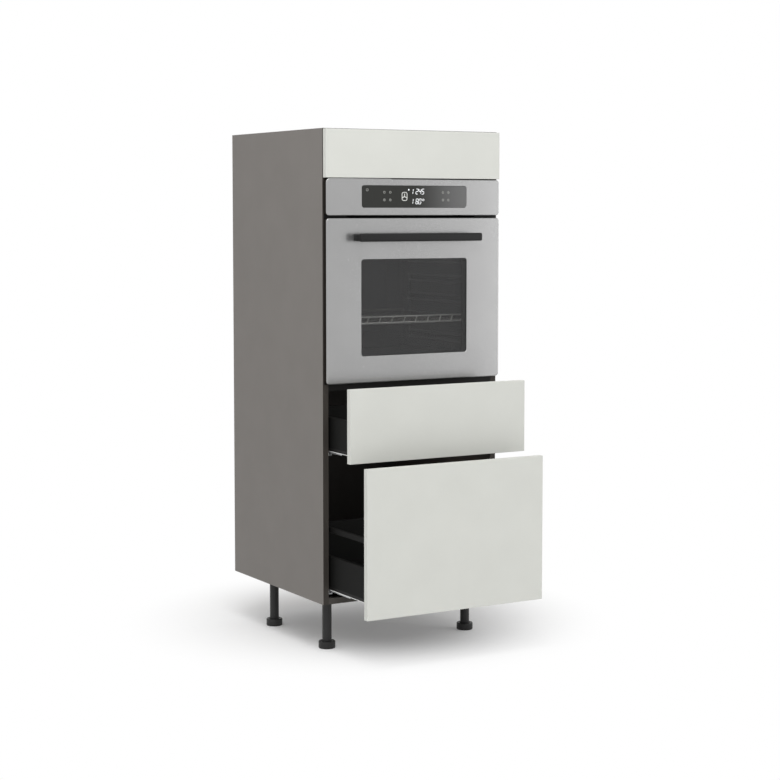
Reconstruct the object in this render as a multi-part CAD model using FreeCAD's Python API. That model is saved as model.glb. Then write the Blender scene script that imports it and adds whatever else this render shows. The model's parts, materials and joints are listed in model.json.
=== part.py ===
import FreeCAD, Part
import math
import os

from FreeCAD import Vector

# Tall kitchen housing for a built-in oven: two drawers below the oven, a fixed fascia above it.
# Millimetres, +Z up, the fronts face -Y.  The origin lies on the floor, under the middle of the
# unit as it stands with both drawers partly open.

# ---------------------------------------------------------------- flats that stand for round forms
ROD_SIDES = 6
TURNED_SIDES = 16
CAM_SIDES = 8
CORNER_FLATS = 3

# ---------------------------------------------------------------- carcass
CARCASS_WIDTH = 600.0
CARCASS_DEPTH = 600.0
LEG_HEIGHT = 150.0
BOARD = 18.0
BACK_BOARD = 8.0
BACK_INSET = 20.0  # service gap between the back board and the wall
GROOVE_DEPTH = 8.0
GROOVE_CLEARANCE = 0.3
SHELF_VENT = 42.0  # air gap between the oven shelf and the back board
NICHE_CLEARANCE = 5.0  # niche higher than the oven front
NICHE_RAIL_DEPTH = 100.0
REAR_RAIL_HEIGHT = 100.0
WALL_HOLE_SPACING = 400.0
WALL_HOLE_DIAMETER = 8.0

# ---------------------------------------------------------------- fronts
FRONT_BOARD = 18.0
FRONT_GAP = 2.0  # between a closed front and the carcass edge
FRONT_JOINT = 3.0  # between one front and the next
SIDE_REVEAL = 1.5
END_REVEAL = 2.0  # at the top and the bottom of the carcass
FRONT_EDGE_RADIUS = 1.0
LOWER_FRONT_HEIGHT = 429.0
UPPER_FRONT_HEIGHT = 213.0
TOP_FASCIA_HEIGHT = 140.0
LOWER_OPENING = 238.0  # how far each drawer stands open at rest
UPPER_OPENING = 141.0
BRACKET_LEG = 26.0
BRACKET_WIDTH = 20.0
BRACKET_SHEET = 2.0
FASCIA_BRACKET_INSET = 70.0

# ---------------------------------------------------------------- cam fittings
CAM_DIAMETER = 15.0
CAM_DEPTH = 12.5
CAM_EDGE_DISTANCE = 34.0
CAM_END_DISTANCE = 60.0
CAM_SLOT_LENGTH = 9.0
CAM_SLOT_WIDTH = 2.0
CAM_CLEARANCE = 0.1

# ---------------------------------------------------------------- legs
LEG_FROM_SIDE = 56.0
LEG_FROM_FRONT = 83.0
LEG_FROM_BACK = 168.0
SOCKET_FLANGE_WIDTH = 56.0
SOCKET_FLANGE = 4.0
SOCKET_COLLAR_DIAMETER = 36.0
SOCKET_COLLAR = 8.0
TUBE_DIAMETER = 28.0
SOCKET_CLEARANCE = 0.3
FOOT_DIAMETER = 50.0
FOOT_HEIGHT = 22.0
FOOT_RECESS_DEPTH = 6.0
FOOT_RECESS_CLEARANCE = 2.0
FOOT_CHAMFER = 2.0
FOOT_STOP_GAP = 0.5
STEM_DIAMETER = 12.0
STEM_LENGTH = 46.0
STEM_CLEARANCE = 0.3

# ---------------------------------------------------------------- drawers
DRAWER_SIDE_GAP = 6.0  # between the carcass side and the drawer side
DRAWER_WALL = 14.0
DRAWER_SIDE_HEIGHT = 90.0
DRAWER_LENGTH = 482.0
DRAWER_LIP = 12.0
DRAWER_SHEET = 1.5
DRAWER_WALL_CHAMFER = 1.0
DRAWER_BASE = 16.0
DRAWER_BACK = 16.0
LOWER_SIDE_ABOVE_FRONT = 50.0  # underside of a drawer side above the lower edge of its front
UPPER_SIDE_ABOVE_FRONT = 28.0
LOWER_BACK_HEIGHT = 132.0  # above the drawer base
UPPER_BACK_HEIGHT = 66.0
GALLERY_RAIL_ABOVE_SIDE = 70.0
GALLERY_RAIL_HEIGHT = 16.0
GALLERY_RAIL_WIDTH = 10.0
GALLERY_RAIL_CHAMFER = 1.5
FRONT_BRACKET_HEIGHT = 56.0
FRONT_BRACKET_DEPTH = 36.0
FRONT_BRACKET_FLANGE = 24.0
FRONT_BRACKET_RISE = 20.0

# ---------------------------------------------------------------- runners, one nested set per side
RUNNER_SHEET = 1.5
RUNNER_WIDTH = 26.0
RUNNER_SIDE_GAP = 7.0  # carcass side to the drawer rail
RUNNER_CLEARANCE = 1.0
RUNNER_HEIGHT = 22.0
DRAWER_RAIL_DROP = 11.0
MIDDLE_RAIL_DROP = 12.5
CABINET_RAIL_LENGTH = 490.0
CABINET_RAIL_SETBACK = 4.0
MIDDLE_RAIL_LENGTH = 440.0
MIDDLE_RAIL_SETBACK = 8.0
DRAWER_RAIL_SETBACK = 3.0

# ---------------------------------------------------------------- oven front
OVEN_HEIGHT = 595.0
OVEN_SIDE_REVEAL = 2.5  # oven front narrower than the carcass each side
SHELF_STEP = 2.0  # shelf top below the lower edge of the oven front
CONTROL_HEIGHT = 106.0
DOOR_SLOT = 8.0  # open slot between the door and the control fascia
OVEN_CORNER_RADIUS = 10.0
OVEN_EDGE_CHAMFER = 1.5
OVEN_SHEET = 1.5
DISPLAY_WIDTH = 360.0
DISPLAY_HEIGHT = 64.0
DISPLAY_RISE = 23.0  # above the lower edge of the fascia
DISPLAY_RADIUS = 7.0
DISPLAY_GLASS = 3.0
DISPLAY_CLEARANCE = 0.4
BOARD_SHEET = 1.6
BOARD_WIDTH = 330.0
BOARD_HEIGHT = 70.0
SPACER_DIAMETER = 8.0
SPACER_INSET = 12.0
DISPLAY_MODULE_WIDTH = 90.0
DISPLAY_MODULE_HEIGHT = 44.0

# ---------------------------------------------------------------- oven door
DOOR_DEPTH = 14.0
DOOR_PIVOT_RISE = 8.0  # pivot above the lower edge of the door
WINDOW_WIDTH = 364.0
WINDOW_RISE = 78.0  # above the lower edge of the door
WINDOW_DROP = 120.0  # below the upper edge of the door
WINDOW_RADIUS = 8.0
WINDOW_BEVEL = 1.0
WINDOW_LAP = 12.0
PANE = 4.0
CARRIER_CLEARANCE = 10.0  # tray narrower than the recess each side
CARRIER_BOTTOM = 16.0  # above the lower edge of the door
CARRIER_TOP = 13.0  # below the upper edge of the door
CARRIER_REACH = 34.5  # from the outer face of the door to the inner face
CARRIER_LIP = 6.0
INNER_PANE_LAP = 6.0
DUCT_WALL = 2.0
LINER_MARGIN = 1.0
LINER_SHEET = 1.5
HANDLE_LENGTH = 420.0
HANDLE_HEIGHT = 24.0
HANDLE_DEPTH = 14.0
HANDLE_REACH = 45.0  # from the door to the front of the bar
HANDLE_DROP = 56.0  # centre of the bar below the top of the door
HANDLE_ROUND = 5.0
HANDLE_END_CHAMFER = 1.5
POST_WIDTH = 20.0
POST_HEIGHT = 20.0
POST_INSET = 2.0
POST_CHAMFER = 4.0

# ---------------------------------------------------------------- door hinges
HINGE_INSET = 18.0  # from the side of the recess to the hinge
ARM_SHEET = 5.0
ARM_HEIGHT = 10.0
ARM_LENGTH = 72.0
RECEIVER_HEIGHT = 42.0
RECEIVER_WIDTH = 14.0
PIN_DIAMETER = 5.0
PIN_CLEARANCE = 0.05
CHEEK_SHEET = 2.0
CHEEK_GAP = 0.6
CHEEK_HEIGHT = 150.0
CHEEK_WEB_RISE = 14.0
ARM_SLOT_CLEARANCE = 1.0

# ---------------------------------------------------------------- oven casing
CASING_CLEARANCE = 4.0  # casing to the carcass side
CASING_DROP = 22.0  # top of the casing below the top of the oven front
CASING_FROM_WALL = 55.0
CASING_SHEET = 1.0
FRAME_SHEET = 1.5
FRAME_MARGIN = 2.5  # frame narrower than the oven front each side
FRAME_BOTTOM = 1.0  # frame below the lower edge of the oven front
RECESS_INSET = 16.0  # recess narrower than the casing each side
RECESS_BOTTOM = 1.5  # above the lower edge of the oven front
RECESS_TOP = 4.0  # below the top of the door
RECESS_DEPTH = 22.0
EXHAUST_WIDTH = 440.0
EXHAUST_HEIGHT = 5.0
VENT_SLOT_COUNT = 10
VENT_SLOT_WIDTH = 6.0
VENT_SLOT_LENGTH = 60.0
VENT_SLOT_PITCH = 36.0
VENT_FROM_EDGE = 30.0

# ---------------------------------------------------------------- oven cavity
CAVITY_SIDE_SPACE = 50.0  # casing to the inside of the cavity
CAVITY_REAR_SPACE = 101.5
CAVITY_RISE = 62.0  # floor above the lower edge of the oven front
CAVITY_DROP = 59.0  # roof below the top of the door
CAVITY_SHEET = 1.2
CAVITY_RADIUS = 16.0
INSULATION = 22.0
INSULATION_CLEARANCE = 0.4
SEAL_WIDTH = 7.0
SEAL_GAP = 1.0

# ---------------------------------------------------------------- shelf and ladders
ROD = 6.0
THIN_ROD = 4.0
LADDER_LEVELS = 5
LADDER_FIRST_LEVEL = 40.0
LADDER_TOP_SPACE = 54.0  # above the ladder
LADDER_GUIDE_GAP = 20.0
LADDER_FRONT = 16.0
LADDER_REAR = 54.0
LADDER_STAND_OFF = 4.0
LADDER_RAIL_OFFSET = 4.5
SHELF_LEVEL = 1
SHELF_FRONT = 12.0
SHELF_REAR = 52.0
SHELF_INSET = 11.5
SHELF_BARS = 9
SHELF_BAR_PITCH = 42.0
SHELF_FENCE = 20.0

# ---------------------------------------------------------------- fan, heaters and lamp
FAN_COVER_SIDE = 78.0  # cavity side to the cover
FAN_COVER_END = 55.0  # cavity floor and roof to the cover
FAN_COVER_DEPTH = 42.0
FAN_COVER_RADIUS = 30.0
FAN_COVER_SHEET = 1.5
FAN_INTAKE_SLOTS = 14
FAN_INTAKE_INNER = 22.0
FAN_INTAKE_OUTER = 58.0
FAN_INTAKE_WIDTH = 5.0
FAN_OUTLET_SLOTS = 5
FAN_OUTLET_LENGTH = 22.0
FAN_OUTLET_WIDTH = 15.0
FAN_OUTLET_PITCH = 36.0
FAN_TO_RING = 25.0  # rim of the wheel to the middle of the ring heater
IMPELLER_DEPTH = 24.0
IMPELLER_SHEET = 1.5
IMPELLER_BLADES = 10
BLADE_LENGTH = 28.5
BLADE_TURN = 16.0
BLADE_BOW = 4.0
HUB_DIAMETER = 18.0
HUB_LENGTH = 16.0
IMPELLER_FROM_WALL = 10.0
SHAFT_DIAMETER = 8.0
SHAFT_CLEARANCE = 0.3
MOTOR_DIAMETER = 68.0
MOTOR_LENGTH = 46.0
MOTOR_CHAMFER = 4.0
MOTOR_FLANGE_DIAMETER = 110.0
MOTOR_FLANGE = 2.0
MOTOR_BORE_DEPTH = 20.0
RING_INSET = 32.0  # from the upper and lower edges of the fan cover
HEATER_TUBE = 7.0
RING_FROM_WALL = 20.0
RING_TERMINAL_SPACING = 30.0
RING_STEPS = 28
GRILL_RUNS = 6
GRILL_RUN_PITCH = 52.0
GRILL_REAR = 70.0
GRILL_DROP = 22.0
GRILL_FRONT = 50.0
GRILL_TURN_STEPS = 6
LAMP_SIDE = 50.0  # cavity side to the middle of the lamp
LAMP_DROP = 42.0
LAMP_LENS_DIAMETER = 46.0
LAMP_LENS_DEPTH = 16.0
LAMP_LENS_CHAMFER = 8.0
LAMP_SOCKET_DIAMETER = 30.0
LAMP_SOCKET_LENGTH = 34.0
TERMINAL_WIDTH = 90.0
TERMINAL_HEIGHT = 60.0
TERMINAL_DEPTH = 18.0
TERMINAL_DROP = 75.0  # below the top of the casing
TERMINAL_SIDE = 108.0  # casing side to the middle of the box
TERMINAL_GLAND_DIAMETER = 16.0
TERMINAL_GLAND_BORE = 10.0
TERMINAL_GLAND_LENGTH = 10.0

# ---------------------------------------------------------------- places worked out from the sizes
half_width = CARCASS_WIDTH / 2
inner_half = half_width - BOARD
front_half = half_width - SIDE_REVEAL
oven_half = half_width - OVEN_SIDE_REVEAL

front_reach = LOWER_OPENING + FRONT_GAP + FRONT_BOARD
edge_y = (front_reach - CARCASS_DEPTH) / 2  # front edge of the carcass
rear_y = edge_y + CARCASS_DEPTH
face_y = edge_y - FRONT_GAP - FRONT_BOARD  # outer face of every closed front
front_back_y = edge_y - FRONT_GAP
back_board_rear = rear_y - BACK_INSET
back_board_front = back_board_rear - BACK_BOARD

bottom_z = LEG_HEIGHT
floor_top = bottom_z + BOARD
lower_front_z = bottom_z + END_REVEAL
upper_front_z = lower_front_z + LOWER_FRONT_HEIGHT + FRONT_JOINT
oven_z = upper_front_z + UPPER_FRONT_HEIGHT + FRONT_JOINT
oven_top = oven_z + OVEN_HEIGHT
fascia_z = oven_top + FRONT_JOINT
fascia_top = fascia_z + TOP_FASCIA_HEIGHT
carcass_top = fascia_top + END_REVEAL
shelf_top = oven_z - SHELF_STEP
niche_top = shelf_top + OVEN_HEIGHT + NICHE_CLEARANCE

control_z = oven_top - CONTROL_HEIGHT
door_top = control_z - DOOR_SLOT
door_back_y = face_y + DOOR_DEPTH
door_inner_y = face_y + CARRIER_REACH
frame_y = edge_y - FRAME_SHEET
casing_half = inner_half - CASING_CLEARANCE
casing_bottom = shelf_top
casing_top = oven_top - CASING_DROP
casing_rear = rear_y - CASING_FROM_WALL
recess_y = edge_y + RECESS_DEPTH  # front of the plate that the cavity opens through
recess_half = casing_half - RECESS_INSET
recess_bottom = oven_z + RECESS_BOTTOM
recess_top = door_top - RECESS_TOP
pivot_y = face_y + DOOR_DEPTH / 2
pivot_z = oven_z + DOOR_PIVOT_RISE

hinge_x = recess_half - HINGE_INSET
window_z = oven_z + WINDOW_RISE
window_top = door_top - WINDOW_DROP

cavity_half = casing_half - CAVITY_SIDE_SPACE
cavity_y = recess_y + FRAME_SHEET
cavity_back = casing_rear - CAVITY_REAR_SPACE
cavity_floor = oven_z + CAVITY_RISE
cavity_top = door_top - CAVITY_DROP
insulation_rear = cavity_back + CAVITY_SHEET + INSULATION_CLEARANCE + INSULATION
fan_z = (cavity_floor + cavity_top) / 2
fan_cover_half_width = cavity_half - FAN_COVER_SIDE
fan_cover_half_height = (cavity_top - cavity_floor) / 2 - FAN_COVER_END
ring_radius = fan_cover_half_height - RING_INSET
impeller_radius = ring_radius - FAN_TO_RING


# ---------------------------------------------------------------- helpers
def box(x0, x1, y0, y1, z0, z1):
    return Part.makeBox(x1 - x0, y1 - y0, z1 - z0, Vector(x0, y0, z0))


def along_x(x0, x1, y, z, diameter):
    return Part.makeCylinder(diameter / 2, x1 - x0, Vector(x0, y, z), Vector(1, 0, 0))


def along_y(x, y0, y1, z, diameter):
    return Part.makeCylinder(diameter / 2, y1 - y0, Vector(x, y0, z), Vector(0, 1, 0))


def flatted_outline(centre, axis, diameter, sides):
    """A regular outline whose flats lie half a diameter from the centre, square to the axis."""
    reference = Vector(1, 0, 0) if abs(axis.z) > abs(axis.x) + abs(axis.y) else Vector(0, 0, 1)
    across = axis.cross(reference).normalize()
    up = Vector(across.cross(axis)).normalize()
    radius = diameter / 2 / math.cos(math.pi / sides)
    corners = []
    for i in range(sides):
        turn = math.pi * (2 * i + 1) / sides
        corners.append(centre + across * (radius * math.cos(turn)) + up * (radius * math.sin(turn)))
    return Part.makePolygon(corners + corners[:1])


def bar(start, end, diameter, sides=ROD_SIDES):
    """A straight bar with flats, which stands for a round one with few faces."""
    run = end - start
    return Part.Face(flatted_outline(start, run, diameter, sides)).extrude(run)


def upright(x, y, z0, z1, diameter):
    return bar(Vector(x, y, z0), Vector(x, y, z1), diameter, TURNED_SIDES)


def bent_tube(points, diameter):
    """A tube along a route of straight runs, mitred where it turns."""
    path = Part.makePolygon(points)
    section = flatted_outline(points[0], points[1] - points[0], diameter, ROD_SIDES)
    return path.makePipeShell([section], True, False, 1)


def rounded_plate(half, z0, z1, radius, y0, y1):
    """A plate with rounded corners that faces the front, centred on X = 0."""
    plate = box(-half, half, y0, y1, z0, z1)
    corners = [e for e in plate.Edges if e.tangentAt(e.FirstParameter).cross(Vector(0, 1, 0)).Length < 1e-6]
    return plate.makeFillet(radius, corners)


def edges_on_plane(shape, axis, place):
    """The edges that lie wholly on the plane where the axis (0, 1 or 2) has this value."""
    found = []
    for edge in shape.Edges:
        low = (edge.BoundBox.XMin, edge.BoundBox.YMin, edge.BoundBox.ZMin)[axis]
        high = (edge.BoundBox.XMax, edge.BoundBox.YMax, edge.BoundBox.ZMax)[axis]
        if abs(low - place) < 1e-4 and abs(high - place) < 1e-4:
            found.append(edge)
    return found


def long_edges(shape, axis, length):
    """The straight edges that run along the axis for the whole length."""
    found = []
    for edge in shape.Edges:
        size = (edge.BoundBox.XLength, edge.BoundBox.YLength, edge.BoundBox.ZLength)[axis]
        if abs(size - length) < 1e-3 and abs(edge.Length - length) < 1e-3:
            found.append(edge)
    return found


def section_along_y(points, y0, y1):
    """A solid whose outline, given as (x, z) points, runs along Y."""
    corners = [Vector(x, y0, z) for x, z in points]
    outline = Part.makePolygon(corners + corners[:1])
    return Part.Face(outline).extrude(Vector(0, y1 - y0, 0))


def flatted_plate(half, z0, z1, radius, y0, y1):
    """A plate like the rounded one, with a few flats for each corner."""
    points = []
    for side_x, side_z, start in ((1, 1, 0), (-1, 1, 90), (-1, -1, 180), (1, -1, 270)):
        centre_x = side_x * (half - radius)
        centre_z = z1 - radius if side_z > 0 else z0 + radius
        for step in range(CORNER_FLATS + 1):
            turn = math.radians(start + 90 * step / CORNER_FLATS)
            points.append((centre_x + radius * math.cos(turn), centre_z + radius * math.sin(turn)))
    return section_along_y(points, y0, y1)


def mirrored(shape):
    return shape.mirror(Vector(0, 0, 0), Vector(1, 0, 0))


def pair(shape):
    return [shape, mirrored(shape)]


def fused(shapes):
    return shapes[0].multiFuse(shapes[1:]).removeSplitter()


def holed(shape, tools):
    return shape.cut(Part.makeCompound(tools)) if tools else shape


def moved_y(shapes, distance):
    return [shape.translated(Vector(0, distance, 0)) for shape in shapes]


def save(node, shapes):
    solids = [solid for shape in shapes for solid in shape.Solids]
    result = solids[0] if len(solids) == 1 else Part.makeCompound(solids)
    result.exportStep("parts/" + node + ".step")


# ---------------------------------------------------------------- carcass
def cam_places():
    """Each cam: the board that it is in, its place, and the direction of its open end."""
    rear = edge_y + CARCASS_DEPTH - 2 * CAM_END_DISTANCE
    front = edge_y + CAM_END_DISTANCE
    x = inner_half - CAM_EDGE_DISTANCE
    places = []
    for side in (-1, 1):
        for y in (front, rear):
            places.append(("top", side * x, y, carcass_top, 1))
            places.append(("bottom", side * x, y, bottom_z, -1))
            places.append(("shelf", side * x, y, shelf_top - BOARD, -1))
        places.append(("niche", side * x, front, niche_top + BOARD, 1))
    return places


def cam_holes(board):
    tools = []
    for name, x, y, face, up in cam_places():
        if name == board:
            depth = CAM_DEPTH + CAM_CLEARANCE
            tools.append(bar(Vector(x, y, face), Vector(x, y, face - up * depth),
                             CAM_DIAMETER + 2 * CAM_CLEARANCE, CAM_SIDES))
    return tools


def cam_fittings():
    cams = []
    for _, x, y, face, up in cam_places():
        cam = bar(Vector(x, y, face), Vector(x, y, face - up * CAM_DEPTH), CAM_DIAMETER, CAM_SIDES)
        slot_floor = face - up * CAM_SLOT_WIDTH
        slot = box(x - CAM_SLOT_LENGTH / 2, x + CAM_SLOT_LENGTH / 2,
                   y - CAM_SLOT_WIDTH / 2, y + CAM_SLOT_WIDTH / 2,
                   min(face, slot_floor), max(face, slot_floor))
        cams.append(cam.cut(slot))
    return cams


def side_panel():
    """The right-hand panel, with the groove that holds the back board."""
    panel = box(inner_half, half_width, edge_y, rear_y, bottom_z, carcass_top)
    groove = box(inner_half, inner_half + GROOVE_DEPTH + GROOVE_CLEARANCE,
                 back_board_front - GROOVE_CLEARANCE, back_board_rear + GROOVE_CLEARANCE,
                 bottom_z, carcass_top)
    return panel.cut(groove)


def carcass():
    right = side_panel()
    save("side_panel_right", [right])
    save("side_panel_left", [mirrored(right)])

    top = box(-inner_half, inner_half, edge_y, rear_y, carcass_top - BOARD, carcass_top)
    save("top_panel", [holed(top, cam_holes("top"))])
    bottom = box(-inner_half, inner_half, edge_y, back_board_front, bottom_z, floor_top)
    save("bottom_panel", [holed(bottom, cam_holes("bottom"))])
    shelf = box(-inner_half, inner_half, edge_y, back_board_front - SHELF_VENT,
                shelf_top - BOARD, shelf_top)
    save("oven_shelf", [holed(shelf, cam_holes("shelf"))])
    rail = box(-inner_half, inner_half, edge_y, edge_y + NICHE_RAIL_DEPTH,
               niche_top, niche_top + BOARD)
    save("niche_rail", [holed(rail, cam_holes("niche"))])

    back_half = inner_half + GROOVE_DEPTH
    save("back_panel", [box(-back_half, back_half, back_board_front, back_board_rear,
                            bottom_z, shelf_top)])

    rail_top = carcass_top - BOARD
    rear_rail = box(-inner_half, inner_half, rear_y - BOARD, rear_y,
                    rail_top - REAR_RAIL_HEIGHT, rail_top)
    wall_holes = [along_y(side * WALL_HOLE_SPACING / 2, rear_y - BOARD, rear_y,
                          rail_top - REAR_RAIL_HEIGHT / 2, WALL_HOLE_DIAMETER) for side in (-1, 1)]
    save("rear_rail", [holed(rear_rail, wall_holes)])
    save("cam_fittings", cam_fittings())


def front_slab(z0, z1):
    slab = box(-front_half, front_half, face_y, front_back_y, z0, z1)
    return slab.makeFillet(FRONT_EDGE_RADIUS, edges_on_plane(slab, 1, face_y))


def fascia_bracket(x, board_face, down):
    """An angle that ties the fascia to a board: one leg on the fascia, one on the board."""
    end = board_face - down * BRACKET_LEG
    sheet = board_face - down * BRACKET_SHEET
    upright = box(x, x + BRACKET_WIDTH, front_back_y, edge_y, min(board_face, end), max(board_face, end))
    lying = box(x, x + BRACKET_WIDTH, front_back_y, edge_y + BRACKET_LEG,
                min(board_face, sheet), max(board_face, sheet))
    return fused([upright, lying])


def top_fascia():
    save("top_fascia", [front_slab(fascia_z, fascia_top)])
    x = inner_half - FASCIA_BRACKET_INSET - BRACKET_WIDTH
    brackets = pair(fascia_bracket(x, carcass_top - BOARD, 1))
    brackets += pair(fascia_bracket(x, niche_top + BOARD, -1))
    save("fascia_brackets", brackets)


# ---------------------------------------------------------------- legs
def leg_places():
    x = half_width - LEG_FROM_SIDE
    front = edge_y + LEG_FROM_FRONT
    rear = rear_y - LEG_FROM_BACK
    return {"front_left": (-x, front), "front_right": (x, front),
            "rear_left": (-x, rear), "rear_right": (x, rear)}


tube_bottom = FOOT_HEIGHT - FOOT_RECESS_DEPTH + FOOT_STOP_GAP
tube_top = bottom_z - SOCKET_FLANGE


def leg_socket(x, y):
    half = SOCKET_FLANGE_WIDTH / 2
    flange = box(x - half, x + half, y - half, y + half, tube_top, bottom_z)
    collar = upright(x, y, tube_top - SOCKET_COLLAR, tube_top, SOCKET_COLLAR_DIAMETER)
    bore = upright(x, y, tube_top - SOCKET_COLLAR, tube_top, TUBE_DIAMETER + 2 * SOCKET_CLEARANCE)
    return fused([flange, collar]).cut(bore)


def leg_tube(x, y):
    tube = upright(x, y, tube_bottom, tube_top, TUBE_DIAMETER)
    bore = upright(x, y, tube_bottom, tube_bottom + STEM_LENGTH, STEM_DIAMETER + 2 * STEM_CLEARANCE)
    return tube.cut(bore)


def foot(x, y):
    disc = upright(x, y, 0, FOOT_HEIGHT, FOOT_DIAMETER)
    disc = disc.makeChamfer(FOOT_CHAMFER, edges_on_plane(disc, 2, 0) + edges_on_plane(disc, 2, FOOT_HEIGHT))
    floor = FOOT_HEIGHT - FOOT_RECESS_DEPTH
    recess = upright(x, y, floor, FOOT_HEIGHT, TUBE_DIAMETER + 2 * FOOT_RECESS_CLEARANCE)
    stem = upright(x, y, floor, floor + STEM_LENGTH, STEM_DIAMETER)
    return fused([disc.cut(recess), stem])


def legs():
    places = leg_places()
    save("leg_sockets", [leg_socket(x, y) for x, y in places.values()])
    save("leg_tubes", [leg_tube(x, y) for x, y in places.values()])
    for name, (x, y) in places.items():
        save("foot_" + name, [foot(x, y)])


# ---------------------------------------------------------------- drawers
drawer_outer = inner_half - DRAWER_SIDE_GAP
drawer_inner = drawer_outer - DRAWER_WALL
drawer_rear = front_back_y + DRAWER_LENGTH
drawer_back_y = drawer_rear - DRAWER_BACK
base_height = DRAWER_SHEET + DRAWER_BASE  # top of the drawer base above the drawer side's underside


def drawer_side(z):
    """A metal side folded from sheet: two walls under one crown, and a lip at its foot for the base."""
    sheet = DRAWER_SHEET
    top = z + DRAWER_SIDE_HEIGHT
    lip = drawer_inner - DRAWER_LIP
    outline = [(drawer_outer, z), (drawer_outer, top), (drawer_inner, top), (drawer_inner, z + sheet),
               (lip, z + sheet), (lip, z), (drawer_inner + sheet, z), (drawer_inner + sheet, top - sheet),
               (drawer_outer - sheet, top - sheet), (drawer_outer - sheet, z)]
    wall = section_along_y(outline, front_back_y, drawer_rear)
    crown = [e for e in edges_on_plane(wall, 2, top) if e.BoundBox.YLength > DRAWER_WALL]
    return wall.makeChamfer(DRAWER_WALL_CHAMFER, crown)


def front_bracket(z):
    """The angle inside the drawer that holds its front."""
    low = z + FRONT_BRACKET_RISE
    high = low + FRONT_BRACKET_HEIGHT
    on_front = box(drawer_inner - FRONT_BRACKET_FLANGE, drawer_inner,
                   front_back_y, front_back_y + BRACKET_SHEET, low, high)
    on_side = box(drawer_inner - BRACKET_SHEET, drawer_inner,
                  front_back_y, front_back_y + FRONT_BRACKET_DEPTH, low, high)
    return fused([on_front, on_side])


def channel(outer, width, top, drop, y0, y1):
    """A rail folded from sheet, open at its foot."""
    inner = outer - width
    sheet = RUNNER_SHEET
    outline = [(outer, top), (outer, top - drop), (outer - sheet, top - drop),
               (outer - sheet, top - sheet), (inner + sheet, top - sheet),
               (inner + sheet, top - drop), (inner, top - drop), (inner, top)]
    return section_along_y(outline, y0, y1)


runner_outer = inner_half - RUNNER_SIDE_GAP
rail_step = RUNNER_SHEET + RUNNER_CLEARANCE


def drawer_rail(z):
    return channel(runner_outer, RUNNER_WIDTH, z, DRAWER_RAIL_DROP,
                   edge_y + DRAWER_RAIL_SETBACK, drawer_rear)


def middle_rail(z):
    start = edge_y + MIDDLE_RAIL_SETBACK
    return channel(runner_outer - rail_step, RUNNER_WIDTH - 2 * rail_step, z - rail_step,
                   MIDDLE_RAIL_DROP, start, start + MIDDLE_RAIL_LENGTH)


def cabinet_rail(z):
    """The fixed rail: a web on the carcass side, a foot, and the track that the others ride on."""
    start = edge_y + CABINET_RAIL_SETBACK
    end = start + CABINET_RAIL_LENGTH
    low = z - RUNNER_HEIGHT
    sheet = RUNNER_SHEET
    track_outer = runner_outer - 2 * rail_step
    track_inner = runner_outer - RUNNER_WIDTH + 2 * rail_step
    track_top = z - 2 * rail_step
    outline = [(inner_half, low), (inner_half, z), (inner_half - sheet, z),
               (inner_half - sheet, low + sheet), (track_outer, low + sheet),
               (track_outer, track_top), (track_inner, track_top), (track_inner, low),
               (track_inner + sheet, low), (track_inner + sheet, track_top - sheet),
               (track_outer - sheet, track_top - sheet), (track_outer - sheet, low)]
    return section_along_y(outline, start, end)


def drawer(name, front_z, front_height, side_z, back_height, opening):
    front = front_slab(front_z, front_z + front_height)
    base = box(-drawer_inner, drawer_inner, front_back_y, drawer_rear,
               side_z + DRAWER_SHEET, side_z + base_height)
    back = box(-drawer_inner, drawer_inner, drawer_back_y, drawer_rear,
               side_z + base_height, side_z + base_height + back_height)
    save(name + "_front", moved_y([front], -opening))
    save(name + "_drawer_sides", moved_y(pair(drawer_side(side_z)), -opening))
    save(name + "_base", moved_y([base], -opening))
    save(name + "_back", moved_y([back], -opening))
    save(name + "_front_brackets", moved_y(pair(front_bracket(side_z)), -opening))
    save(name + "_drawer_rails", moved_y(pair(drawer_rail(side_z)), -opening))
    save(name + "_middle_rails", moved_y(pair(middle_rail(side_z)), -opening / 2))


def gallery_rails(side_z):
    """The raised rails of the lower drawer, each with the pillar that holds it at the back."""
    low = side_z + DRAWER_SIDE_HEIGHT + GALLERY_RAIL_ABOVE_SIDE
    rail = box(drawer_outer - GALLERY_RAIL_WIDTH, drawer_outer, front_back_y, drawer_back_y,
               low, low + GALLERY_RAIL_HEIGHT)
    rail = rail.makeChamfer(GALLERY_RAIL_CHAMFER, long_edges(rail, 1, drawer_back_y - front_back_y))
    pillar = box(drawer_inner, drawer_outer, drawer_back_y, drawer_rear,
                 side_z + DRAWER_SIDE_HEIGHT, low + GALLERY_RAIL_HEIGHT)
    return pair(rail) + pair(pillar)


def drawers():
    lower_side = lower_front_z + LOWER_SIDE_ABOVE_FRONT
    upper_side = upper_front_z + UPPER_SIDE_ABOVE_FRONT
    drawer("lower", lower_front_z, LOWER_FRONT_HEIGHT, lower_side, LOWER_BACK_HEIGHT, LOWER_OPENING)
    drawer("upper", upper_front_z, UPPER_FRONT_HEIGHT, upper_side, UPPER_BACK_HEIGHT, UPPER_OPENING)
    save("lower_gallery_rails", moved_y(gallery_rails(lower_side), -LOWER_OPENING))
    save("cabinet_rails", pair(cabinet_rail(lower_side)) + pair(cabinet_rail(upper_side)))


# ---------------------------------------------------------------- oven front
def pan(z0, z1, depth):
    """A pressed cover: a front skin with rounded edges and walls that turn back, open behind."""
    outer = rounded_plate(oven_half, z0, z1, OVEN_CORNER_RADIUS, face_y, face_y + depth)
    outer = outer.makeChamfer(OVEN_EDGE_CHAMFER, edges_on_plane(outer, 1, face_y))
    inside = rounded_plate(oven_half - OVEN_SHEET, z0 + OVEN_SHEET, z1 - OVEN_SHEET,
                           OVEN_CORNER_RADIUS - OVEN_SHEET, face_y + OVEN_SHEET, face_y + depth)
    return outer.cut(inside)


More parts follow.
